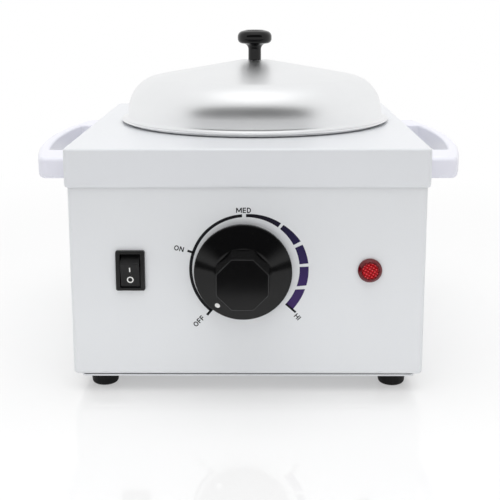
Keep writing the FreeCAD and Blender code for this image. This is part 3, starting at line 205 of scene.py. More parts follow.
def dress(material, *nodes):
    """Gives carried-over solids their finish."""
    for node in nodes:
        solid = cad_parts[node]
        if not solid.material_slots:
            solid.data.materials.append(material)
        for slot in solid.material_slots:
            slot.material = material


def middle(node):
    """The middle of a node's box, in millimetres."""
    low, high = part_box(node)
    return (low + high) / 2 / MM


white_coat = powder_coat("white_powder_coat", tone(230, 232, 234), tone(225, 227, 230))
dress(white_coat, "lower_housing")


def plated(name, light, dark, roughness=0.34):
    """Zinc plating: a dull crystalline shine with fine rolling marks."""
    metal = Finish(name, Metallic=1.0)
    grain = metal.noise(420.0, 3.0)
    rolling = metal.noise(1.0, 2.0, metal.stretched(900.0, 60.0, 900.0))
    normal = metal.bump(rolling, 0.00001)
    return metal.set(Base_Color=grain.between(dark, light), Roughness=grain * 0.16 + roughness, Normal=normal)


zinc_plate = plated("zinc_plate", tone(176, 178, 182), tone(142, 145, 150))
dress(zinc_plate, "bottom_plate", "well_clamp_ring")
zinc_screw = plated("zinc_screws", tone(190, 192, 196), tone(150, 153, 158), 0.24)
dress(zinc_screw, "foot_nuts", "well_studs", "well_nuts", "left_handle_screws", "right_handle_screws",
      "lid_knob_washer", "lid_knob_screw", "thermostat_screws", "thermostat_spindle", "earth_nut",
      "band_clamp_bolt", "band_clamp_nut")

# ------------------------ feet
# Four moulded rubber feet with a rounded tread, each held by a screw up through its recess.
# Matte black, with a little dust in patches.
SWEEP = 8  # steps in which an outline's corner is rounded
QUARTER = [math.radians(90 * i / SWEEP) for i in range(SWEEP + 1)]


def corner(before, at, after, radius, steps=SWEEP):
    """Points of the arc that rounds one corner of an outline."""
    at = Vector(at)
    back = (Vector(before) - at).normalized()
    on = (Vector(after) - at).normalized()
    half = back.angle(on) / 2
    reach = radius / math.tan(half)
    centre = at + (back + on).normalized() * (radius / math.sin(half))
    start, stop = at + back * reach - centre, at + on * reach - centre
    swing = start.angle_signed(stop)
    return [centre + Matrix.Rotation(-swing * i / steps, 2) @ start for i in range(steps + 1)]


def rounded(outline):
    """A closed outline of (across, up) or (across, up, radius) corners as points."""
    points = []
    for i, spot in enumerate(outline):
        if len(spot) < 3:
            points.append(Vector(spot))
            continue
        points.extend(corner(outline[i - 1][:2], spot[:2], outline[(i + 1) % len(outline)][:2], spot[2]))
    return points


def finished(shape, closed=True):
    """The mesh of a bmesh; a closed one gets its faces turned outward."""
    if closed:
        bmesh.ops.recalc_face_normals(shape, faces=shape.faces)
    mesh = bpy.data.meshes.new("shape")
    shape.to_mesh(mesh)
    shape.free()
    return mesh


def turned(outline, steps=128):
    """Mesh of a closed outline of (radius, height) turned about Z; points on the axis meet in one vertex."""
    shape = bmesh.new()
    rings = []
    for radius, height in rounded(outline):
        if radius < 1e-6:
            rings.append([shape.verts.new((0, 0, height * MM))] * steps)
            continue
        ring = []
        for i in range(steps):
            turn = math.tau * i / steps
            spot = (radius * MM * math.cos(turn), radius * MM * math.sin(turn), height * MM)
            ring.append(shape.verts.new(spot))
        rings.append(ring)
    for here, there in zip(rings, rings[1:] + rings[:1]):
        if here[0] is here[1] and there[0] is there[1]:
            continue
        for i in range(steps):
            j = (i + 1) % steps
            face = [here[i], here[j], there[j], there[i]]
            shape.faces.new(sorted(set(face), key=face.index))
    return finished(shape)


def moved(x, y, z):
    """A place so many millimetres away."""
    return Matrix.Translation((x * MM, y * MM, z * MM))


def placed(name, data):
    """Puts a mesh, a lamp or a camera in the scene."""
    thing = bpy.data.objects.new(name, data)
    bpy.context.scene.collection.objects.link(thing)
    return thing


def piece(name, mesh, body, slot, material, *nodes, where=None, sharp=38):
    """Puts a mesh in the scene as a piece of that body, in the place of the CAD nodes it stands for."""
    if where:
        mesh.transform(where)
    mesh.name = name
    mesh.shade_smooth()
    mesh.set_sharp_from_angle(angle=math.radians(sharp))
    mesh.materials.clear()
    mesh.materials.append(material)
    thing = placed(name, mesh)
    weigh = thing.modifiers.new("face weights", "WEIGHTED_NORMAL")
    weigh.keep_sharp = True
    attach(thing, body)
    if nodes:
        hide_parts(*nodes)


rubber = Finish("foot_rubber", IOR=1.33)
dust = rubber.noise(160.0, 4.0)
grain = rubber.noise(1500.0)
rubber_black = rubber.set(Base_Color=dust.between(tone(6, 6, 7), tone(15, 15, 15)),
                          Roughness=dust * 0.2 + 0.5, Normal=rubber.bump(grain, 0.00002))
FEET = ("front_left_foot", "front_right_foot", "back_left_foot", "back_right_foot")
FOOT_HEIGHT = 9.0
FOOT_TREAD, FOOT_TOP = 7.0, 7.7  # radii of its lower and upper end
RECESS, RECESS_DEPTH = 3.9, 4.0
M4_BORE = 2.15
foot_outline = [(M4_BORE, RECESS_DEPTH), (RECESS, RECESS_DEPTH, 0.3), (RECESS, 0.0, 0.4),
                (FOOT_TREAD, 0.0, 2.0), (FOOT_TOP, FOOT_HEIGHT, 0.3), (M4_BORE, FOOT_HEIGHT)]
for foot in FEET:
    centre = middle(foot)
    piece(foot + "_moulding", turned(foot_outline, 64), "housing", "rubber", rubber_black, foot,
          where=moved(centre.x, centre.y, 0))

# ------------------------ screws under the plate
# Zinc plated pan heads with a cross recess: through the feet, along the lip, under the terminal
# block and at the earth stud. Their shanks reach up into the nuts and pieces that they hold.
M3, M3_HEAD, M3_RISE = 1.5, 2.75, 1.8
M4, M4_HEAD, M4_RISE = 2.0, 3.6, 2.3
HEAD_CROWN = 0.62  # rounding of a head's edge, as a share of the head's rise
CROSS_REACH, CROSS_DEPTH = 0.56, 0.8  # as shares of the head's radius and rise
CROSS_POINT, CROSS_ARM = 0.45, 0.2  # reach at the bottom and half an arm, as shares of the reach
FIRST_TURN, NEXT_TURN = 0.7, 1.3  # how far the crosses are turned from each other, in radians


def skinned(loops, closed=True):
    """Mesh through loops of points, each joined to the next, and the last to the first where it is closed."""
    shape = bmesh.new()
    rows = [[shape.verts.new(point * MM) for point in loop] for loop in loops]
    pairs = zip(rows, rows[1:] + rows[:1]) if closed else zip(rows, rows[1:])
    for here, there in pairs:
        for i in range(len(here)):
            j = (i + 1) % len(here)
            shape.faces.new((here[i], here[j], there[j], there[i]))
    if not closed:
        shape.faces.new(rows[0])
        shape.faces.new(rows[-1])
    return finished(shape)


def cut(mesh, cutter, operation="DIFFERENCE"):
    """The mesh less what the cutter covers, or what both share."""
    blank, tool = placed("blank", mesh), placed("tool", cutter)
    step = blank.modifiers.new("cut", "BOOLEAN")
    step.object = tool
    step.operation = operation
    step.solver = "EXACT"
    result = bpy.data.meshes.new_from_object(blank.evaluated_get(bpy.context.evaluated_depsgraph_get()))
    for thing in (blank, tool):
        bpy.data.objects.remove(thing)
    return result


def gathered(parts):
    """One mesh of several, each a (mesh, place) pair."""
    shape = bmesh.new()
    for mesh, place in parts:
        copy = mesh.copy()
        copy.transform(place)
        shape.from_mesh(copy)
    return finished(shape, closed=False)


def recess(radius, depth, top):
    """A tapered cross that sinks into the top of a screw's head."""
    loops = []
    for share, height in ((CROSS_POINT, top - depth), (1.0, top + 0.2)):
        arm, half = radius * share, radius * CROSS_ARM * (0.6 + share * 0.4)
        loop = []
        for quarter in range(4):
            turn = Matrix.Rotation(math.radians(90 * quarter), 2)
            for x, y in ((arm, -half), (arm, half), (half, half)):
                spot = turn @ Vector((x, y))
                loop.append(Vector((spot.x, spot.y, height)))
        loops.append(loop)
    return skinned(loops, closed=False)


def pan_screw(shank, head, rise, length):
    """A screw with its head's underside at zero and its shank along -Z."""
    outline = [(0, -length), (shank - 0.3, -length), (shank, 0.4 - length), (shank, 0), (head, 0, 0.1),
               (head, rise, rise * HEAD_CROWN), (0, rise + 0.04)]
    return cut(turned(outline, 48), recess(head * CROSS_REACH, rise * CROSS_DEPTH, rise))


def screws_below(node, shank, head, rise, spots):
    """Pan-head screws that stand in one node, their heads down."""
    low, high = (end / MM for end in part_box(node))
    screw = pan_screw(shank, head, rise, high.z - low.z - rise)
    screws = []
    for i, (x, y) in enumerate(spots):
        stand = moved(x, y, low.z + rise) @ Matrix.Rotation(math.pi, 4, "X")
        screws.append((screw, stand @ Matrix.Rotation(FIRST_TURN + NEXT_TURN * i, 4, "Z")))
    piece(node + "_heads", gathered(screws), "housing", "zinc_screw", zinc_screw, node, sharp=30)


screws_below("foot_screws", M4, M4_HEAD, M4_RISE, [middle(foot)[:2] for foot in FEET])
plate_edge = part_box("bottom_plate_screws")[1] / MM
lip_x, lip_y = plate_edge.x - M3_HEAD, plate_edge.y - M3_HEAD
screws_below("bottom_plate_screws", M3, M3_HEAD, M3_RISE,
             [(side * lip_x, row * lip_y) for side in (-1, 1) for row in (-1, 0, 1)])
block = middle("terminal_block")
block_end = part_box("terminal_block_screws")[1].x / MM - M3_HEAD
screws_below("terminal_block_screws", M3, M3_HEAD, M3_RISE,
             [(x, block.y) for x in (block_end, block.x * 2 - block_end)])
screws_below("earth_stud", M4, M4_HEAD, M4_RISE, [middle("earth_stud")[:2]])

# ------------------------ cover
# A shallow tray of the same sheet, turned down over the box; its skirt's lower edge is dressed round.
# The folds are rounded, and the well hangs under its round opening.
COVER_ROUND = 2.5  # radius of the upright corners
FOLD_ROUND = 1.3  # radius of the fold round the top
SHEET = 1.0
HOLE = 70.0  # radius of the opening
INNER_ROUND = 0.5  # radius of the corners inside
DRESSED_EDGE = [(SHEET, 0.2), (0.9, 0.0), (0.62, 0.12), (0.36, 0.5), (0.16, 1.0), (0.05, 1.6), (0.0, 2.3)]


def frame_loop(half_x, half_y, radius, height, sides=24):
    """Points round a rectangle with rounded corners, evenly told off for each side and corner."""
    bends = []
    for x, y, start in ((half_x - radius, half_y - radius, 0), (radius - half_x, half_y - radius, 90),
                        (radius - half_x, radius - half_y, 180), (half_x - radius, radius - half_y, 270)):
        turns = [math.radians(start + 90 * i / SWEEP) for i in range(SWEEP + 1)]
        bends.append([Vector((x + radius * math.cos(turn), y + radius * math.sin(turn), height))
                      for turn in turns])
    points = []
    for here, there in zip(bends, bends[1:] + bends[:1]):
        points += here + [here[-1].lerp(there[0], i / sides) for i in range(1, sides)]
    return points


pot_axis = middle("inner_pot")
cover_low, cover_high = (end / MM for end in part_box("top_cover"))
half_x, half_y, skirt_low, cover_top = cover_high.x, cover_high.y, cover_low.z, cover_high.z
section = [(inset, skirt_low + rise) for inset, rise in DRESSED_EDGE]
section += [(0.0, (skirt_low + cover_top) / 2), (0.0, cover_top - FOLD_ROUND)]
for angle in QUARTER[1:]:
    section.append((FOLD_ROUND * (1 - math.cos(angle)), cover_top - FOLD_ROUND * (1 - math.sin(angle))))
loops = [frame_loop(half_x - inset, half_y - inset, max(COVER_ROUND - inset, INNER_ROUND), height)
         for inset, height in section]
edge = loops[-1]


def hole_loop(height):
    """Points round the opening, one straight in from each point of the cover's edge."""
    points = []
    for point in edge:
        away = Vector((point.x - pot_axis.x, point.y - pot_axis.y)).normalized() * HOLE
        points.append(Vector((pot_axis.x + away.x, pot_axis.y + away.y, height)))
    return points


loops.append(hole_loop(cover_top))
loops.append(hole_loop(cover_top - SHEET))
loops.append(frame_loop(half_x - FOLD_ROUND, half_y - FOLD_ROUND, INNER_ROUND, cover_top - SHEET))
loops.append(frame_loop(half_x - SHEET, half_y - SHEET, INNER_ROUND, cover_top - FOLD_ROUND))
cover_coat = powder_coat("cover_powder_coat", tone(230, 232, 235), tone(226, 228, 232))
piece("cover_sheet", skinned(loops), "housing", "white_steel", cover_coat, "top_cover")

# ------------------------ plate border
# The border of the vented plate shows as a thin bright line under the box, all the way round.
# A strip of black rubber lies between it and the box's lip, as a painted shadow line where the joint is in
# shade.
BORDER_SIDE, BORDER_END = 4.0, 2.0  # how far it lies in from the box's sides and ends
SIDE_WIDE, END_WIDE = 0.65, 3.2  # its width along them
BORDER_ROUND = 2.5
# The strip that the next line calls the gasket is this painted shadow line.
SHADOW_STRIP_BACK = 0.25  # how far the gasket lies in from the border's edge
SHADOW_STRIP_LOW, BORDER_LOW = 0.6, 1.5  # below the box's lip
box_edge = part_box("lower_housing")[1] / MM
lip_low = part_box("lower_housing")[0].z / MM


def border_ring(side, end, drop):
    """Points round the border, so far in from its edge and so far below the box's lip."""
    across, along = box_edge.x - BORDER_SIDE - side, box_edge.y - BORDER_END - end
    return frame_loop(across, along, BORDER_ROUND, lip_low - drop)


# First the black strip of painted shadow, then the white border.
for name, back, high, low, slot, material in (
        ("plate_shadow_strip", SHADOW_STRIP_BACK, 0.0, SHADOW_STRIP_LOW, "rubber", rubber_black),
        ("plate_border", 0.0, SHADOW_STRIP_LOW, BORDER_LOW, "white_steel", white_coat)):
    loops = [border_ring(back, back, high), border_ring(back, back, low),
             border_ring(SIDE_WIDE, END_WIDE, low), border_ring(SIDE_WIDE, END_WIDE, high)]
    piece(name, skinned(loops), "housing", slot, material)

# ------------------------ handles
# Two solid mouldings of white plastic, screwed to the skirt from inside, one on each side.
# The plastic has a faint cool tint, and slight waves where it flowed into the mould.
HANDLE_HALF = 80.0
HANDLE_REACH = 17.5  # from the skirt, at the handle's ends
HANDLE_MIDDLE = 28.2  # and at its middle
HANDLE_BAR = 6.2
GAP_HALF = 52.0
END_ROUND, GAP_ROUND = 4.5, 3.5
OUTER_EASE, GAP_EASE = 2.4, 1.4
sag = HANDLE_MIDDLE - HANDLE_REACH
bow = (HANDLE_HALF ** 2 + sag ** 2) / (sag * 2)


def bowed(radius, y):
    """How far the handle's bow reaches from the skirt at that distance from its middle."""
    return HANDLE_MIDDLE - bow + math.sqrt(radius ** 2 - y ** 2)


def swept(radius, reach, steps=36):
    """Points of the bow from one end of its reach to the other."""
    return [(bowed(radius, y), y) for y in (reach * (2 * i / steps - 1) for i in range(steps + 1))]


handle_outline = [(0, -HANDLE_HALF), (HANDLE_REACH, -HANDLE_HALF, END_ROUND)]
handle_outline += swept(bow, HANDLE_HALF - END_ROUND)
handle_outline += [(HANDLE_REACH, HANDLE_HALF, END_ROUND), (0, HANDLE_HALF)]
outer_spots = len(rounded(handle_outline))
gap_reach = bowed(bow - HANDLE_BAR, GAP_HALF)
handle_outline += [(0, GAP_HALF), (gap_reach, GAP_HALF, GAP_ROUND)]
handle_outline += swept(bow - HANDLE_BAR, GAP_HALF - GAP_ROUND)[::-1]
handle_outline += [(gap_reach, -GAP_HALF, GAP_ROUND), (0, -GAP_HALF)]
handle_points = rounded(handle_outline)


def inward(points, i, wall):
    """The way into a moulding from one point of its outline; on the wall it follows the wall."""
    here, before, after = points[i], points[i - 1], points[(i + 1) % len(points)]
    lean = Vector((0, 0))
    for start, stop in ((before, here), (here, after)):
        along = (stop - start).normalized()
        if wall is None or max(abs(start.x - wall), abs(stop.x - wall)) > 0.01:
            lean += Vector((-along.y, along.x))
    return lean.normalized()


def eased_slab(points, eases, height, wall=None, steps=6):
    """A plate of that outline with rounded edges above and below, save where it lies on a wall."""
    leans = [inward(points, i, wall) for i in range(len(points))]
    quarter = [math.radians(90 * i / steps) for i in range(steps + 1)]
    loops = []
    for angle in [bend - math.pi / 2 for bend in quarter] + quarter:
        loop = []
        for point, lean, ease in zip(points, leans, eases):
            spot = point + lean * ease * (1 - math.cos(angle))
            seat = ease if len(loops) <= steps else height - ease
            loop.append(Vector((spot.x, spot.y, seat + ease * math.sin(angle))))
        loops.append(loop)
    return skinned(loops, closed=False)


plastic = Finish("handle_plastic", IOR=1.46)
haze = plastic.noise(55.0, 3.0)
skin_grain = plastic.noise(2200.0)
flow = plastic.noise(90.0, 1.0)
handle_white = plastic.set(Base_Color=haze.between(tone(240, 240, 249), tone(235, 235, 245)),
                           Roughness=haze * 0.08 + 0.26,
                           Normal=plastic.bump(skin_grain, 0.000005, plastic.bump(flow, 0.00006)))
eases = [OUTER_EASE if i < outer_spots else GAP_EASE for i in range(len(handle_points))]
for side, turn in (("left", math.pi), ("right", 0.0)):
    node = side + "_handle"
    handle_low, handle_high = (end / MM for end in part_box(node))
    slab = eased_slab(handle_points, eases, handle_high.z - handle_low.z, wall=0.0)
    stand = Matrix.Rotation(turn, 4, "Z") @ moved(half_x, 0, handle_low.z)
    piece(node + "_moulding", slab, "housing", "handle_plastic", handle_white, node, where=stand, sharp=50)

# ------------------------ well and pot
# The well is a drawn aluminium cup, clamped up against the underside of the cover by a ring.
# The pot is a thinner cup of the same metal that hangs in it by its flange and lifts out.


def drawn(name, light, dark, roughness, grain=0.000008):
    """Drawn or spun aluminium: fine rings about the pot's axis over a satin grain."""
    metal = Finish(name, Metallic=1.0)
    spot = metal.vector("SUBTRACT", metal.place(), (pot_axis.x * MM, pot_axis.y * MM, 0.0))
    flat = metal.vector("MULTIPLY", spot, (1.0, 1.0, 0.0))
    reach = metal.vector("LENGTH", flat)["Value"]
    height = metal.node("ShaderNodeSeparateXYZ", None, {"Vector": spot})["Z"]
    ring = metal.node("ShaderNodeCombineXYZ", None, {"X": reach * 3000.0, "Y": height * 3000.0})
    turning = metal.noise(1.0, 2.0, ring)
    satin = metal.noise(1400.0, 3.0)
    cloud = metal.noise(30.0, 3.0)
    normal = metal.bump(satin, grain, metal.bump(turning, 0.000008))
    return metal.set(Base_Color=cloud.between(dark, light), Roughness=cloud * 0.08 + roughness, Normal=normal)


pot_metal = drawn("drawn_aluminium", tone(222, 222, 222), tone(208, 209, 210), 0.26)
dress(pot_metal, "heating_well")
pot_low, pot_high = (end.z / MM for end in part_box("inner_pot"))
POT_SHEET, POT_GAP = 1.0, 0.8
FLANGE_RADIUS, FLANGE_EASE = 79.0, 0.3
BASE_ROUND, MOUTH_ROUND = 10.0, 2.0
seat = pot_high - POT_SHEET
pot_outer = HOLE - POT_GAP
pot_inner = pot_outer - POT_SHEET
pot_outline = [(0, pot_low), (pot_outer, pot_low, BASE_ROUND), (pot_outer, seat),
               (FLANGE_RADIUS, seat, FLANGE_EASE), (FLANGE_RADIUS, pot_high, FLANGE_EASE),
               (pot_inner, pot_high, MOUTH_ROUND),
               (pot_inner, pot_low + POT_SHEET, BASE_ROUND - POT_SHEET), (0, pot_low + POT_SHEET)]
on_pot_axis = moved(pot_axis.x, pot_axis.y, 0)
piece("lift_out_pot", turned(pot_outline, 192), "pot", "pot_aluminium", pot_metal, "inner_pot",
      where=on_pot_axis)

# ------------------------ lid
# Spun from aluminium sheet: a flat rim, a near-upright wall, a round shoulder and a shallow cone.
# The spinning leaves fine rings on the satin metal.
LID_SHEET = 0.8
LID_RIM, RIM_EASE = 81.8, 0.35
WALL_FOOT, FOOT_ROUND = 77.2, 2.0  # the wall's inner radius at the rim, and its rounding outside
SHOULDER, SHOULDER_HEIGHT, SHOULDER_ROUND = 75.5, 22.3, 19.6
CROWN, CROWN_HEIGHT, CROWN_ROUND = 9.0, 34.5, 14.0  # the flat under the knob
lid_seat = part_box("lid")[0].z / MM
lid_metal = drawn("spun_aluminium", tone(241, 242, 243), tone(233, 234, 235), 0.3, 0.00003)
lid_outline = [(M4_BORE, CROWN_HEIGHT), (CROWN, CROWN_HEIGHT), (SHOULDER, SHOULDER_HEIGHT, SHOULDER_ROUND),
               (WALL_FOOT, 0), (LID_RIM, 0, RIM_EASE), (LID_RIM, LID_SHEET, RIM_EASE),
               (WALL_FOOT + LID_SHEET, LID_SHEET, FOOT_ROUND),
               (SHOULDER + LID_SHEET, SHOULDER_HEIGHT + LID_SHEET, SHOULDER_ROUND + LID_SHEET),
               (CROWN, CROWN_HEIGHT + LID_SHEET, CROWN_ROUND), (M4_BORE, CROWN_HEIGHT + LID_SHEET)]
piece("spun_lid", turned(lid_outline, 256), "lid", "spun_aluminium", lid_metal, "lid",
      where=on_pot_axis @ moved(0, 0, lid_seat))

# ------------------------ lid knob
# A turned and polished phenolic knob with a dished top, held by a screw from under the lid.
# Its stem is narrower than its head, so that fingers get a hold.


def phenolic(name, roughness):
    """Polished black phenolic: deep gloss, with faint polishing marks and a little dust."""
    black = Finish(name, IOR=1.38)
    haze = black.noise(240.0, 4.0)
    hair = black.noise(1800.0, 3.0)
    specks = black.noise(900.0, 6.0).step(0.66, 0.74)
    colour = specks.between(tone(5, 5, 6), tone(24, 24, 21))
    return black.set(Base_Color=colour, Roughness=haze * 0.08 + roughness, Normal=black.bump(hair, 0.000002))


STEM, STEM_TOP, STEM_ROUND = 3.9, 9.4, 3.4
KNOB_HEAD, HEAD_LOW, HEAD_HIGH = 10.4, 10.4, 16.8  # its radius, and where its side begins and ends
DISH_RIM, DISH_RIM_HEIGHT = 5.6, 18.1
DISH, DISH_FLOOR = 4.8, 17.2
SCREW_DEPTH = 11.5
knob_outline = [(M4_BORE, 0), (STEM, 0, 0.3), (STEM, STEM_TOP, STEM_ROUND), (KNOB_HEAD, HEAD_LOW, 2.8),
                (KNOB_HEAD, HEAD_HIGH, 3.6), (DISH_RIM, DISH_RIM_HEIGHT, 0.4), (DISH, DISH_FLOOR, 0.4),
                (0, DISH_FLOOR), (0, SCREW_DEPTH), (M4_BORE, SCREW_DEPTH)]
lid_black = phenolic("turned_phenolic", 0.03)
knob_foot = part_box("lid_knob")[0].z / MM
piece("lid_grip", turned(knob_outline, 96), "lid", "black_phenolic", lid_black, "lid_knob",
      where=on_pot_axis @ moved(0, 0, knob_foot))

# ------------------------ front print
# Screen printed ink on the front panel: a scale round the heat control, and its four words.
# A thin line runs from OFF past ON to MED, then five blocks widen and turn from black to purple.
CONTROLS = middle("switch_housing").z
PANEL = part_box("lower_housing")[0].y / MM
INK = 0.03  # how far the ink stands out of the coat
DIAL_X, DIAL_Z = -0.85, 67.85  # the scale's middle, a little off the heat control's
RING = 27.9  # the scale's inner radius
LINE_WIDE, BLOCK_WIDE = 1.6, 4.7  # width of the line, and of the last blocks
CAPITAL = 2.65  # height of a capital
STRETCH, LETTER_GAP, STROKE = 1.15, 0.17, 0.2  # of the letters, as shares of that height


def on_panel(x, z, turn=0):
    """Stands a piece on the front panel: its +Z comes out, and it turns clockwise as seen."""
    stand = moved(x, PANEL, z) @ Matrix.Rotation(math.pi / 2, 4, "X")
    return stand @ Matrix.Rotation(math.radians(-turn), 4, "Z")


def strips(bands):
    """Mesh of flat strips, each from a list of (inner point, outer point) pairs, that faces +Z."""
    shape = bmesh.new()
    for pairs in bands:
        rows = [[shape.verts.new(point * MM) for point in pair] for pair in pairs]
        for here, there in zip(rows, rows[1:]):
            shape.faces.new((here[0], there[0], there[1], here[1])).normal_update()
    for face in shape.faces:
        if face.normal.z < 0:
            face.normal_flip()
    return finished(shape, closed=False)


def clock(angle, radius):
    """A point by the clock: its angle from the top, in the direction of the hands."""
    turn = math.radians(angle)
    return Vector((radius * math.sin(turn), radius * math.cos(turn), INK))


def arc(start, stop, inner, width, end_width=None, outer=None, steps=24):
    """A strip round the clock, which may grow wider as it goes, and may have slanting ends."""
    grow = 0.0 if end_width is None else end_width - width
    first, last = outer or (start, stop)
    shares = [i / steps for i in range(steps + 1)]
    return [(clock(start + (stop - start) * share, inner),
             clock(first + (last - first) * share, inner + width + grow * share)) for share in shares]


def tick(angle, inner, outer, thick):
    """A short radial stroke."""
    spread = math.degrees(thick / 2 / inner)
    return [(clock(angle + side * spread, inner), clock(angle + side * spread * inner / outer, outer))
            for side in (-1, 1)]


ink = Finish("black_ink", IOR=1.32)
ink_wear = ink.noise(1300.0, 3.0)
ink_black = ink.set(Base_Color=ink_wear.between(tone(6, 5, 12), tone(12, 11, 19)),
                    Roughness=ink_wear * 0.1 + 0.38, Normal=ink.bump(ink_wear, 0.000003))
shaded = Finish("shaded_ink", IOR=1.32)
spot = shaded.split()
east, north = spot["X"] - DIAL_X * MM, spot["Z"] - DIAL_Z * MM
bearing = east.math("ARCTAN2", east, north)
stops = [(0.0, tone(6, 5, 12)), (0.22, tone(14, 10, 32)), (0.45, tone(28, 18, 66)), (0.75, tone(54, 34, 92)),
         (1.0, tone(60, 36, 96))]
ramp = shaded.node("ShaderNodeValToRGB", {"stops": stops}, {"Fac": bearing / math.radians(135)})
screen = shaded.noise(1300.0, 3.0)
ink_shaded = shaded.set(Base_Color=ramp, Roughness=screen * 0.1 + 0.38, Normal=shaded.bump(screen, 0.000003))
scale_line = [arc(-141, -3.8, RING, LINE_WIDE, steps=64), tick(-71.6, RING, RING + 4.0, 1.2),
              tick(-140.4, RING, RING + 4.2, 1.3)]
scale_blocks = [arc(0.2, 36.3, RING, LINE_WIDE, 2.7), arc(39.2, 62.0, RING, 2.8, 4.2),
                arc(65.6, 84.2, RING, 4.3, BLOCK_WIDE),
                arc(87.2, 109.0, RING, BLOCK_WIDE, outer=(87.2, 105.3)),
                arc(112.8, 131.4, RING, BLOCK_WIDE, outer=(109.0, 131.4))]
scale_end = [tick(131.8, RING, RING + 7.0, 1.1)]
for name, bands, material in (("scale_line", scale_line, ink_black),
                              ("scale_blocks", scale_blocks, ink_shaded),
                              ("scale_end", scale_end, ink_black)):
    piece(name, strips(bands), "housing", None, material, where=on_panel(DIAL_X, DIAL_Z))


def stroke(points, thick):
    """A strip of even thickness along a line."""
    pairs = []
    for i, point in enumerate(points):
        before, after = points[max(i - 1, 0)], points[min(i + 1, len(points) - 1)]
        along = (after - before).normalized()
        aside = Vector((-along.y, along.x, 0)) * thick / 2
        pairs.append((point - aside, point + aside))
    return pairs


def oval(x, reach, start, stop):
    """Part of an upright ellipse, by the clock."""
    turns = [math.radians(start + (stop - start) * i / 16) for i in range(17)]
    return [(x + reach * math.sin(turn), 0.5 + 0.43 * math.cos(turn)) for turn in turns]


POST = [(0.07, 0), (0.07, 1)]
LETTERS = {  # width of each letter and its lines, in heights of a capital
    "D": (0.66, [POST, [(0.07, 0.93), *oval(0.26, 0.33, 0, 180), (0.07, 0.07)]]),
    "E": (0.54, [POST, *([(0, y), (0.54, y)] for y in (0.07, 0.5, 0.93))]),
    "F": (0.52, [POST, *([(0, y), (0.52, y)] for y in (0.5, 0.93))]),
    "H": (0.68, [POST, [(0.61, 0), (0.61, 1)], [(0, 0.5), (0.68, 0.5)]]),
    "I": (0.14, [POST]),
    "M": (0.94, [POST, [(0.87, 0), (0.87, 1)], [(0.1, 0.96), (0.47, 0.2)], [(0.47, 0.2), (0.84, 0.96)]]),
    "N": (0.7, [POST, [(0.63, 0), (0.63, 1)], [(0.1, 0.96), (0.6, 0.04)]]),
    "O": (0.78, [oval(0.39, 0.32, 0, 360)])}


def lettering(word):
    """Strips of a printed word, centred on its place."""
    left = -(sum(LETTERS[letter][0] + LETTER_GAP for letter in word) - LETTER_GAP) / 2
    bands = []
    for letter in word:
        width, lines = LETTERS[letter]
        for line in lines:
            points = [Vector(((left + x) * CAPITAL * STRETCH, (y - 0.5) * CAPITAL, INK)) for x, y in line]
            bands.append(stroke(points, CAPITAL * STROKE))
        left += width + LETTER_GAP
    return strips(bands)


for word, x, z, turn in (("OFF", -25.7, 39.7, -46), ("ON", -35.5, 79.1, 14), ("MED", -2.0, 99.35, 0),
                         ("HI", 26.1, 42.15, 46)):
    piece("word_" + word.lower(), lettering(word), "housing", None, ink_black, where=on_panel(x, z, turn))

# ------------------------ heat control
# The thermostat sits behind the panel, and its spindle carries a moulded knob on a D-shaped bore.
# The knob has a domed skirt, an eight-sided grip with drafted sides and a filled white dot.
KNOB_X = middle("thermostat_spindle").x
SKIRT, SKIRT_LOW, SKIRT_HIGH = 25.4, 3.0, 5.2  # the skirt's radius, and its edge's two heights
SKIRT_WALL = 2.0
DOME, DOME_HEIGHT, DOME_ROUND = 14.0, 10.6, 6.0
HUB = 6.5
ceiling = DOME_HEIGHT - SKIRT_WALL
skirt_inner = SKIRT - SKIRT_WALL
skirt_outline = [(0, SKIRT_LOW), (HUB, SKIRT_LOW), (HUB, ceiling), (DOME, ceiling),
                 (skirt_inner, SKIRT_HIGH - 1.0), (skirt_inner, SKIRT_LOW, 0.3), (SKIRT, SKIRT_LOW, 0.5),
                 (SKIRT, SKIRT_HIGH, 0.8), (DOME, DOME_HEIGHT, DOME_ROUND), (0, DOME_HEIGHT)]
dial_black = phenolic("moulded_phenolic", 0.09)
on_knob = on_panel(KNOB_X, CONTROLS)
piece("heat_knob_skirt", turned(skirt_outline, 160), "knob", "black_phenolic", dial_black,
      "control_knob", where=on_knob)


def octagon(flats, height, round_by):
    """Loop of an eight-sided section with eased corners, four points to a corner."""
    reach = flats / 2 / math.cos(math.radians(22.5))
    turns = [math.radians(22.5 + 45 * i) for i in range(8)]
    spots = [Vector((reach * math.cos(turn), reach * math.sin(turn))) for turn in turns]
    bends = [corner(spots[i - 1], spots[i], spots[(i + 1) % 8], round_by, 3) for i in range(8)]
    return [Vector((*point, height)) for bend in bends for point in bend]


GRIP_LOW, GRIP_TOP = 9.0, 27.6
GRIP_FLATS = 27.56  # across the flats at the grip's lower end
GRIP_DRAFT = math.tan(math.radians(2.5)) * 2
GRIP_CORNER = 0.35
FACE_ROUND = 0.5
sections = [(GRIP_LOW, GRIP_FLATS), (DOME_HEIGHT, GRIP_FLATS - (DOME_HEIGHT - GRIP_LOW) * GRIP_DRAFT)]
shoulder = GRIP_FLATS - (GRIP_TOP - GRIP_LOW - FACE_ROUND) * GRIP_DRAFT
for i in range(7):
    angle = math.radians(15 * i)
    drawn_in = FACE_ROUND * 2 * (1 - math.cos(angle)) + FACE_ROUND * math.sin(angle) * GRIP_DRAFT
    sections.append((GRIP_TOP - FACE_ROUND * (1 - math.sin(angle)), shoulder - drawn_in))
grip_loops = [octagon(flats, height, GRIP_CORNER) for height, flats in sections]
piece("heat_knob_grip", skinned(grip_loops, closed=False), "knob", "black_phenolic", dial_black,
      where=on_knob, sharp=50)
paint = Finish("dot_paint")
paint_cloud = paint.noise(900.0)
dot_white = paint.set(Base_Color=paint_cloud.between(tone(240, 240, 238), tone(228, 228, 226)),
                      Roughness=paint_cloud * 0.1 + 0.4)
DOT_ANGLE, DOT_REACH, DOT = -142, 21.5, 1.4
skirt_slope = math.atan2(DOME_HEIGHT - SKIRT_HIGH, SKIRT - DOME)
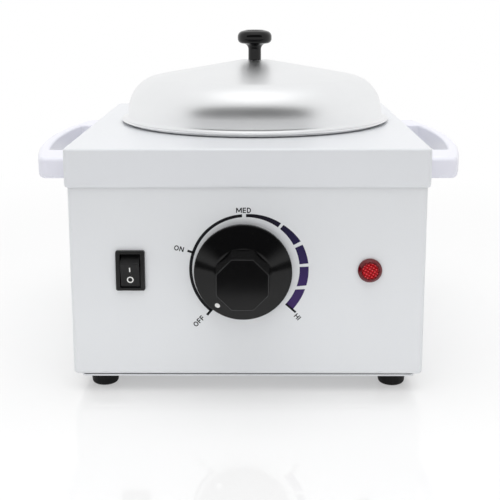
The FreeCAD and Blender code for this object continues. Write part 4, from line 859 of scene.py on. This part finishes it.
dot = clock(DOT_ANGLE, DOT_REACH) * MM
dot.z = (SKIRT_HIGH + (SKIRT - DOT_REACH) * math.tan(skirt_slope)) * MM
lean = Matrix.Rotation(skirt_slope, 4, Vector((0, 0, 1)).cross(Vector((dot.x, dot.y, 0))))
dot_outline = [(0, -0.5), (DOT, -0.5), (DOT, 0.1, 0.1), (0, 0.15)]
piece("heat_knob_dot", turned(dot_outline, 32), "knob", "black_phenolic", dot_white,
      where=on_knob @ Matrix.Translation(dot) @ lean)

# ------------------------ rocker switch
# A snap-in nylon switch: a bezel on the panel, and a rocker that tips between its two sides.
# The rocker is marked I and O in white.
SWITCH_X = middle("switch_housing").x
BEZEL_X, BEZEL_Z, BEZEL_THICK = 7.6, 10.7, 2.0
BODY_X, BODY_Z, BODY_DEPTH = 6.45, 9.45, 14.0
CAVITY_X, CAVITY_Z, CAVITY_DEPTH = 5.3, 9.0, 8.0
BEZEL_CORNER, BODY_CORNER, CAVITY_CORNER = 1.0, 0.3, 0.2
BEZEL_EASE = 0.6
LIP, LIP_BEND = 0.15, 0.04  # the eased edge of the cavity


def cloudy(name, first, second, scale, roughness, fineness=6, relief=0.00001, **constants):
    """A moulded or drawn surface with slight changes of colour and polish over a finer grain."""
    plain = Finish(name, **constants)
    cloud = plain.noise(scale, 3.0)
    grain = plain.noise(scale * fineness)
    return plain.set(Base_Color=cloud.between(first, second), Roughness=cloud * 0.12 + roughness,
                     Normal=plain.bump(grain, relief))


SPARKED = (5.2, 0.000006)  # fineness and relief of the grain that a spark-eroded mould leaves
switch_black = cloudy("switch_nylon", tone(12, 12, 13), tone(18, 18, 18), 500.0, 0.24, *SPARKED, IOR=1.45)
dress(switch_black, "lamp_nut", "lamp_body", "cord_gland", "gland_nut")
switch_loops = [frame_loop(BODY_X, BODY_Z, BODY_CORNER, height, 2) for height in (-BODY_DEPTH, 0)]
switch_loops.append(frame_loop(BEZEL_X, BEZEL_Z, BEZEL_CORNER, 0, 2))
for angle in QUARTER:
    inset = BEZEL_EASE * (1 - math.cos(angle))
    height = BEZEL_THICK - BEZEL_EASE * (1 - math.sin(angle))
    switch_loops.append(frame_loop(BEZEL_X - inset, BEZEL_Z - inset, BEZEL_CORNER - inset, height, 2))
for ease, height in ((LIP, BEZEL_THICK), (LIP_BEND, BEZEL_THICK - LIP_BEND), (0.0, BEZEL_THICK - LIP),
                     (0.0, -CAVITY_DEPTH)):
    switch_loops.append(frame_loop(CAVITY_X + ease, CAVITY_Z + ease, CAVITY_CORNER + ease, height, 2))
piece("switch_moulding", skinned(switch_loops, closed=False), "housing", "black_nylon",
      switch_black, "switch_housing", where=on_panel(SWITCH_X, CONTROLS))

ROCKER_HALF = 4.95
PIVOT_DEPTH = 5.0
TILT = 14
PIN, PIN_HALF, PIN_EASE = 1.0, 6.2, 0.2
KEEL, KEEL_LOW = 3.0, -1.8
WAIST = 8.79  # half its length at the pivot
END, END_HEIGHT, END_EASE = 6.7, 8.4, 0.5  # half its length at the face, from the pivot
DIP_HEIGHT, DIP_ROUND = 7.6, 16.0
ROCKER_EASE = 0.25
MARK_THICK, BAR_HALF, RING_INNER = 0.6, 1.35, 1.15
rocker_outline = [(-KEEL, KEEL_LOW), (KEEL, KEEL_LOW), (WAIST, 0), (END, END_HEIGHT, END_EASE),
                  (0, DIP_HEIGHT, DIP_ROUND), (-END, END_HEIGHT, END_EASE), (-WAIST, 0)]
rocker_points = rounded(rocker_outline)
rocker_slab = eased_slab(rocker_points, [ROCKER_EASE] * len(rocker_points), ROCKER_HALF * 2)
pin_outline = [(0, -PIN_HALF), (PIN, -PIN_HALF, PIN_EASE), (PIN, PIN_HALF, PIN_EASE), (0, PIN_HALF)]
along_pin = Matrix(((0, 0, 1, 0), (1, 0, 0, 0), (0, 1, 0, 0), (0, 0, 0, 1)))
centred = along_pin @ moved(0, 0, -ROCKER_HALF)
rocker_mesh = gathered([(rocker_slab, centred), (turned(pin_outline, 32), along_pin)])
on_pivot = moved(SWITCH_X, PANEL + PIVOT_DEPTH, CONTROLS) @ Matrix.Rotation(math.radians(90 + TILT), 4, "X")
rocker_black = cloudy("rocker_nylon", tone(30, 30, 31), tone(36, 36, 36), 500.0, 0.34, *SPARKED, IOR=1.28)
piece("rocker_moulding", rocker_mesh, "rocker", "black_nylon", rocker_black, "rocker", where=on_pivot,
      sharp=50)
face_lean = math.atan2(END_HEIGHT - DIP_HEIGHT, END)
mark_white = dot_white.copy()
mark_white.name = "mark_paint"
bar = [(Vector((-MARK_THICK / 2, y, INK)), Vector((MARK_THICK / 2, y, INK))) for y in (-BAR_HALF, BAR_HALF)]
ring = arc(0, 360, RING_INNER, MARK_THICK, steps=48)
for name, band, up in (("mark_on", bar, 3.1), ("mark_off", ring, -2.8)):
    at = Vector((0, up, DIP_HEIGHT + abs(up) * math.tan(face_lean))) * MM
    lean = Matrix.Rotation(math.copysign(face_lean, up), 4, "X")
    stand = on_pivot @ Matrix.Translation(at) @ lean
    piece(name, strips([band]), "rocker", None, mark_white, where=stand)

# ------------------------ indicator lamp
# A red acrylic lens over a neon bulb: a bevelled rim round a face moulded with small pyramids.
# The rim lets some light through. Its red is darker, as painted shade; the field of pyramids is a brighter
# red, as painted light, with painted glints that make the pyramids' tips lighter.
LAMP_X = middle("lamp_lens").x
LENS, LENS_RIM, LENS_FACE, LENS_HEIGHT = 6.3, 1.2, 4.9, 2.6
NECK, NECK_DEPTH = 3.7, 4.0
FIELD_MOUTH, FIELD, FIELD_DEPTH = 4.3, 4.2, 0.7  # the round recess in the face
PLUG = 4.22  # radius to which the field of pyramids is cut
PITCH = 1.55  # of the pyramids
FIELD_TURN = 30  # of their rows, clockwise


def pyramids(half, base, top):
    """A block whose upper side is a field of square pyramids."""
    shape = bmesh.new()
    count = math.ceil(half / PITCH)
    grid = [[shape.verts.new((i * PITCH * MM, j * PITCH * MM, base * MM)) for j in range(-count, count + 1)]
            for i in range(-count, count + 1)]
    for i in range(count * 2):
        for j in range(count * 2):
            sides = [grid[i][j], grid[i + 1][j], grid[i + 1][j + 1], grid[i][j + 1]]
            tip = shape.verts.new(((i + 0.5 - count) * PITCH * MM, (j + 0.5 - count) * PITCH * MM, top * MM))
            for here, there in zip(sides, sides[1:] + sides[:1]):
                shape.faces.new((here, there, tip))
    rim = [row[0] for row in grid] + grid[-1][1:] + [row[-1] for row in grid[-2::-1]] + grid[0][-2:0:-1]
    low = [shape.verts.new((v.co.x, v.co.y, (base - 1.0) * MM)) for v in rim]
    for i, v in enumerate(rim):
        j = (i + 1) % len(rim)
        shape.faces.new((v, low[i], low[j], rim[j]))
    shape.faces.new(low)
    return finished(shape)


def acrylic(name, light, dark, painted_glint=None, **constants):
    """Red acrylic, a little uneven in colour and polish; a painted glint colour, where given, makes the tips
    of its pyramids lighter.
    """
    red = Finish(name, IOR=1.49, **constants)
    cloud = red.noise(700.0)
    colour = cloud.between(light, dark)
    if painted_glint:
        spot = red.split()
        waves = 2 * math.pi / (PITCH * MM)
        across, up = (spot["X"] - LAMP_X * MM) * waves, (spot["Z"] - CONTROLS * MM) * waves
        tilt = math.radians(FIELD_TURN)
        first = across * math.cos(tilt) - up * math.sin(tilt)
        second = across * math.sin(tilt) + up * math.cos(tilt)
        # Painted glints: a grid that mixes in the lighter colour at each pyramid's tip.
        colour = ((1 - first.cosine()) * (1 - second.cosine()) * 0.25).step(0.2, 0.9).between(colour, painted_glint)
    return red.set(Base_Color=colour, Roughness=cloud * 0.05 + 0.05, Normal=red.bump(cloud, 0.000004))


# One acrylic in two tones: the rim a darker red as painted shade, the pyramids a brighter red as painted
# light.
lens_rim_painted_shade = acrylic("red_lens", tone(150, 4, 26), tone(120, 2, 18), Transmission_Weight=0.5)
prism_red_painted_light = acrylic("red_prisms_painted_light", tone(176, 2, 14), tone(152, 0, 10), tone(236, 58, 70))
lens_outline = [(0, -NECK_DEPTH), (NECK, -NECK_DEPTH), (NECK, 0), (LENS, 0), (LENS, LENS_RIM, 0.5),
                (LENS_FACE, LENS_HEIGHT, 0.5), (FIELD_MOUTH, LENS_HEIGHT, 0.1),
                (FIELD, LENS_HEIGHT - FIELD_DEPTH), (0, LENS_HEIGHT - FIELD_DEPTH)]
piece("lens_rim", turned(lens_outline, 96), "housing", "red_lens", lens_rim_painted_shade, "lamp_lens",
      where=on_panel(LAMP_X, CONTROLS))
field = pyramids(5.0, LENS_HEIGHT - 0.68, LENS_HEIGHT - 0.03)
plug_low, plug_high = LENS_HEIGHT - 1.2, LENS_HEIGHT + 1.0
plug = turned([(0, plug_low), (PLUG, plug_low), (PLUG, plug_high), (0, plug_high)], 64)
piece("lens_prisms", cut(field, plug, "INTERSECT"), "housing", "red_lens", prism_red_painted_light,
      where=on_panel(LAMP_X, CONTROLS, FIELD_TURN), sharp=10)

# ------------------------ heater and wiring parts
# Behind the panels: the band heater and its blanket round the well, the fuse, the terminal block,
# and the thermostat with its copper bulb. They are closed in, and show at most through the vents.
dress(cloudy("drawn_copper", tone(190, 118, 84), tone(166, 96, 66), 160.0, 0.24, Metallic=1.0),
      "sensing_bulb", "capillary_tube")
dress(cloudy("brass_blades", tone(204, 176, 108), tone(186, 156, 92), 200.0, 0.26, Metallic=1.0),
      "switch_terminals", "thermal_fuse")
dress(cloudy("band_steel", tone(178, 176, 170), tone(150, 148, 142), 90.0, 0.36, Metallic=1.0), "heater_band")
dress(cloudy("cream_ceramic", tone(226, 221, 206), tone(212, 206, 190), 120.0, 0.5), "thermostat_body",
      "terminal_block")
fibre = Finish("woven_glass")
weave = {"Vector": fibre.stretched(700.0, 700.0, 700.0), "Scale": 1.0}
warp = fibre.node("ShaderNodeTexWave", {"wave_type": "BANDS", "bands_direction": "Z"}, weave)
weft = fibre.node("ShaderNodeTexWave", {"wave_type": "BANDS", "bands_direction": "DIAGONAL"}, weave)
tangle = fibre.noise(220.0, 4.0)
woven = fibre.set(Base_Color=tangle.between(tone(224, 217, 196), tone(198, 188, 160)),
                  Roughness=tangle * 0.1 + 0.8, Normal=fibre.bump(warp * 0.5 + weft * 0.5, 0.0002))
dress(woven, "insulation_blanket")

# ------------------------ floor, light and camera
# A white polished table in a white room, under a wide soft lamp and behind a weak low one.
# Two dark cards in front and a bright scrim overhead show only in reflections, as in a studio.
TABLE_HALF = 6.0
CARD_LEFT, CARD_RIGHT = -1.5, 1.25
CARD_NEAR, CARD_FAR = -0.33, -1.0
CARD_LOW, CARD_HIGH, CARD_FADE = 0.1, 1.15, 0.34  # the upright card fades in over that height
OVERHEAD_Y, LAMP_HEIGHT = -0.32, 1.6
SCRIM_HALF, SCRIM_HEIGHT = 1.0, 1.58
EYE = (0.0056, -0.6012, 0.2096)


def sheet(name, points, material):
    """A flat sheet that belongs to the stage."""
    mesh = bpy.data.meshes.new(name)
    mesh.from_pydata(points, [], [range(len(points))])
    mesh.materials.append(material)
    thing = placed(name, mesh)
    return thing


def level(left, right, front, back, height):
    """The corners of a level sheet whose face looks up."""
    return [(left, front, height), (right, front, height), (right, back, height), (left, back, height)]


table = Finish("table_top", Roughness=0.03, IOR=2.0)
table_cloud = table.noise(3.0)
# Painted shade: bounce light sees the table dark grey in front of the box, which darkens the box's front;
# seen directly or in a mirror the table stays white.
pale_except_shading_patch = table.split()["Y"].step(-0.42, -0.30).larger(table.seen())
white = table_cloud.between(tone(250, 250, 250), tone(246, 246, 246))
table.set(Base_Color=pale_except_shading_patch.between(tone(80, 80, 80), white))
reach = table.vector("LENGTH", table.place())["Value"]
polished = Wire(table, table.shader.outputs[0])
table.show(table.seen() * (reach.step(0.26, 0.6) * 0.6 + 0.4), polished, table.white(1.0))
sheet("table", level(-TABLE_HALF, TABLE_HALF, -TABLE_HALF, TABLE_HALF, 0), table.material)


def card(name, material, points):
    """A card that only reflections see."""
    flag = sheet(name, points, material)
    for rays in ("camera", "diffuse", "shadow", "transmission", "volume_scatter"):
        setattr(flag, "visible_" + rays, False)


def black_felt(name):
    """Felt that is nearly black in a reflection."""
    felt = Finish(name, Base_Color=(0, 0, 0, 1), Roughness=0.9, Emission_Strength=1.0)
    felt.set(Emission_Color=felt.noise(4.0).between((0.07, 0.07, 0.07, 1), (0.09, 0.09, 0.09, 1)))
    return felt


lying = black_felt("lying_felt")
lying.set(Alpha=1 - lying.node("ShaderNodeNewGeometry")["Backfacing"])
card("lying_card", lying.material, level(CARD_LEFT, CARD_RIGHT, CARD_FAR, CARD_NEAR, MM))
upright = black_felt("upright_felt")
upright.set(Alpha=upright.split()["Z"].step(CARD_LOW, CARD_LOW + CARD_FADE))
card("upright_card", upright.material, [(CARD_LEFT, CARD_FAR, CARD_LOW), (CARD_RIGHT, CARD_FAR, CARD_LOW),
                                        (CARD_RIGHT, CARD_FAR, CARD_HIGH), (CARD_LEFT, CARD_FAR, CARD_HIGH)])
scrim = Finish("scrim", Base_Color=(0, 0, 0, 1), Roughness=0.9, Emission_Color=(1, 1, 1, 1))
off_middle = scrim.vector("DISTANCE", scrim.place(), (0.0, OVERHEAD_Y, SCRIM_HEIGHT))["Value"]
scrim.show(off_middle.step(0.35, 0.95), scrim.white(1.35), scrim.white(1.0))
card("scrim", scrim.material, level(-SCRIM_HALF, SCRIM_HALF, OVERHEAD_Y - SCRIM_HALF, OVERHEAD_Y + SCRIM_HALF,
                                    SCRIM_HEIGHT))

world = bpy.data.worlds.new("white room")
bpy.context.scene.world = world
world.use_nodes = True
world.node_tree.nodes.clear()
room = Nodes(world.node_tree)
walls = [room.white(strength, "ShaderNodeBackground") for strength in (0.62, 1.0)]
shell = room.node("ShaderNodeMixShader", None, {0: room.seen(), 1: walls[0], 2: walls[1]})
room.node("ShaderNodeOutputWorld", None, {"Surface": shell})


def soft_lamp(name, wide, deep, energy, place, tilt=0):
    """A rectangular lamp that no reflection shows."""
    light = bpy.data.lights.new(name, "AREA")
    light.shape = "RECTANGLE"
    light.size = wide
    light.size_y = deep
    light.energy = energy
    lamp = placed(name, light)
    lamp.location = place
    lamp.rotation_euler = (math.radians(tilt), 0, 0)
    lamp.visible_glossy = False


soft_lamp("overhead", 1.6, 1.75, 15, (0.0, OVERHEAD_Y, LAMP_HEIGHT))
soft_lamp("low_fill", 0.7, 0.12, 0.27, (0.0, -0.36, 0.03), 85)

camera = bpy.data.cameras.new("camera")
camera.lens = 71.45
camera.sensor_width = 36
camera.shift_y = -0.12
viewer = placed("camera", camera)
yaw, pitch, roll = math.radians(-0.49), math.radians(11.32), math.radians(-0.11)
ahead = Vector((math.sin(yaw) * math.cos(pitch), math.cos(yaw) * math.cos(pitch), -math.sin(pitch)))
right = Vector((math.cos(yaw), -math.sin(yaw), 0))
above = right.cross(ahead)
tilted = right * math.cos(roll) + above * math.sin(roll)
raised = above * math.cos(roll) - right * math.sin(roll)
viewer.matrix_world = Matrix.Translation(EYE) @ Matrix((tilted, raised, -ahead)).transposed().to_4x4()
bpy.context.scene.camera = viewer
bpy.context.scene.view_settings.view_transform = "Standard"
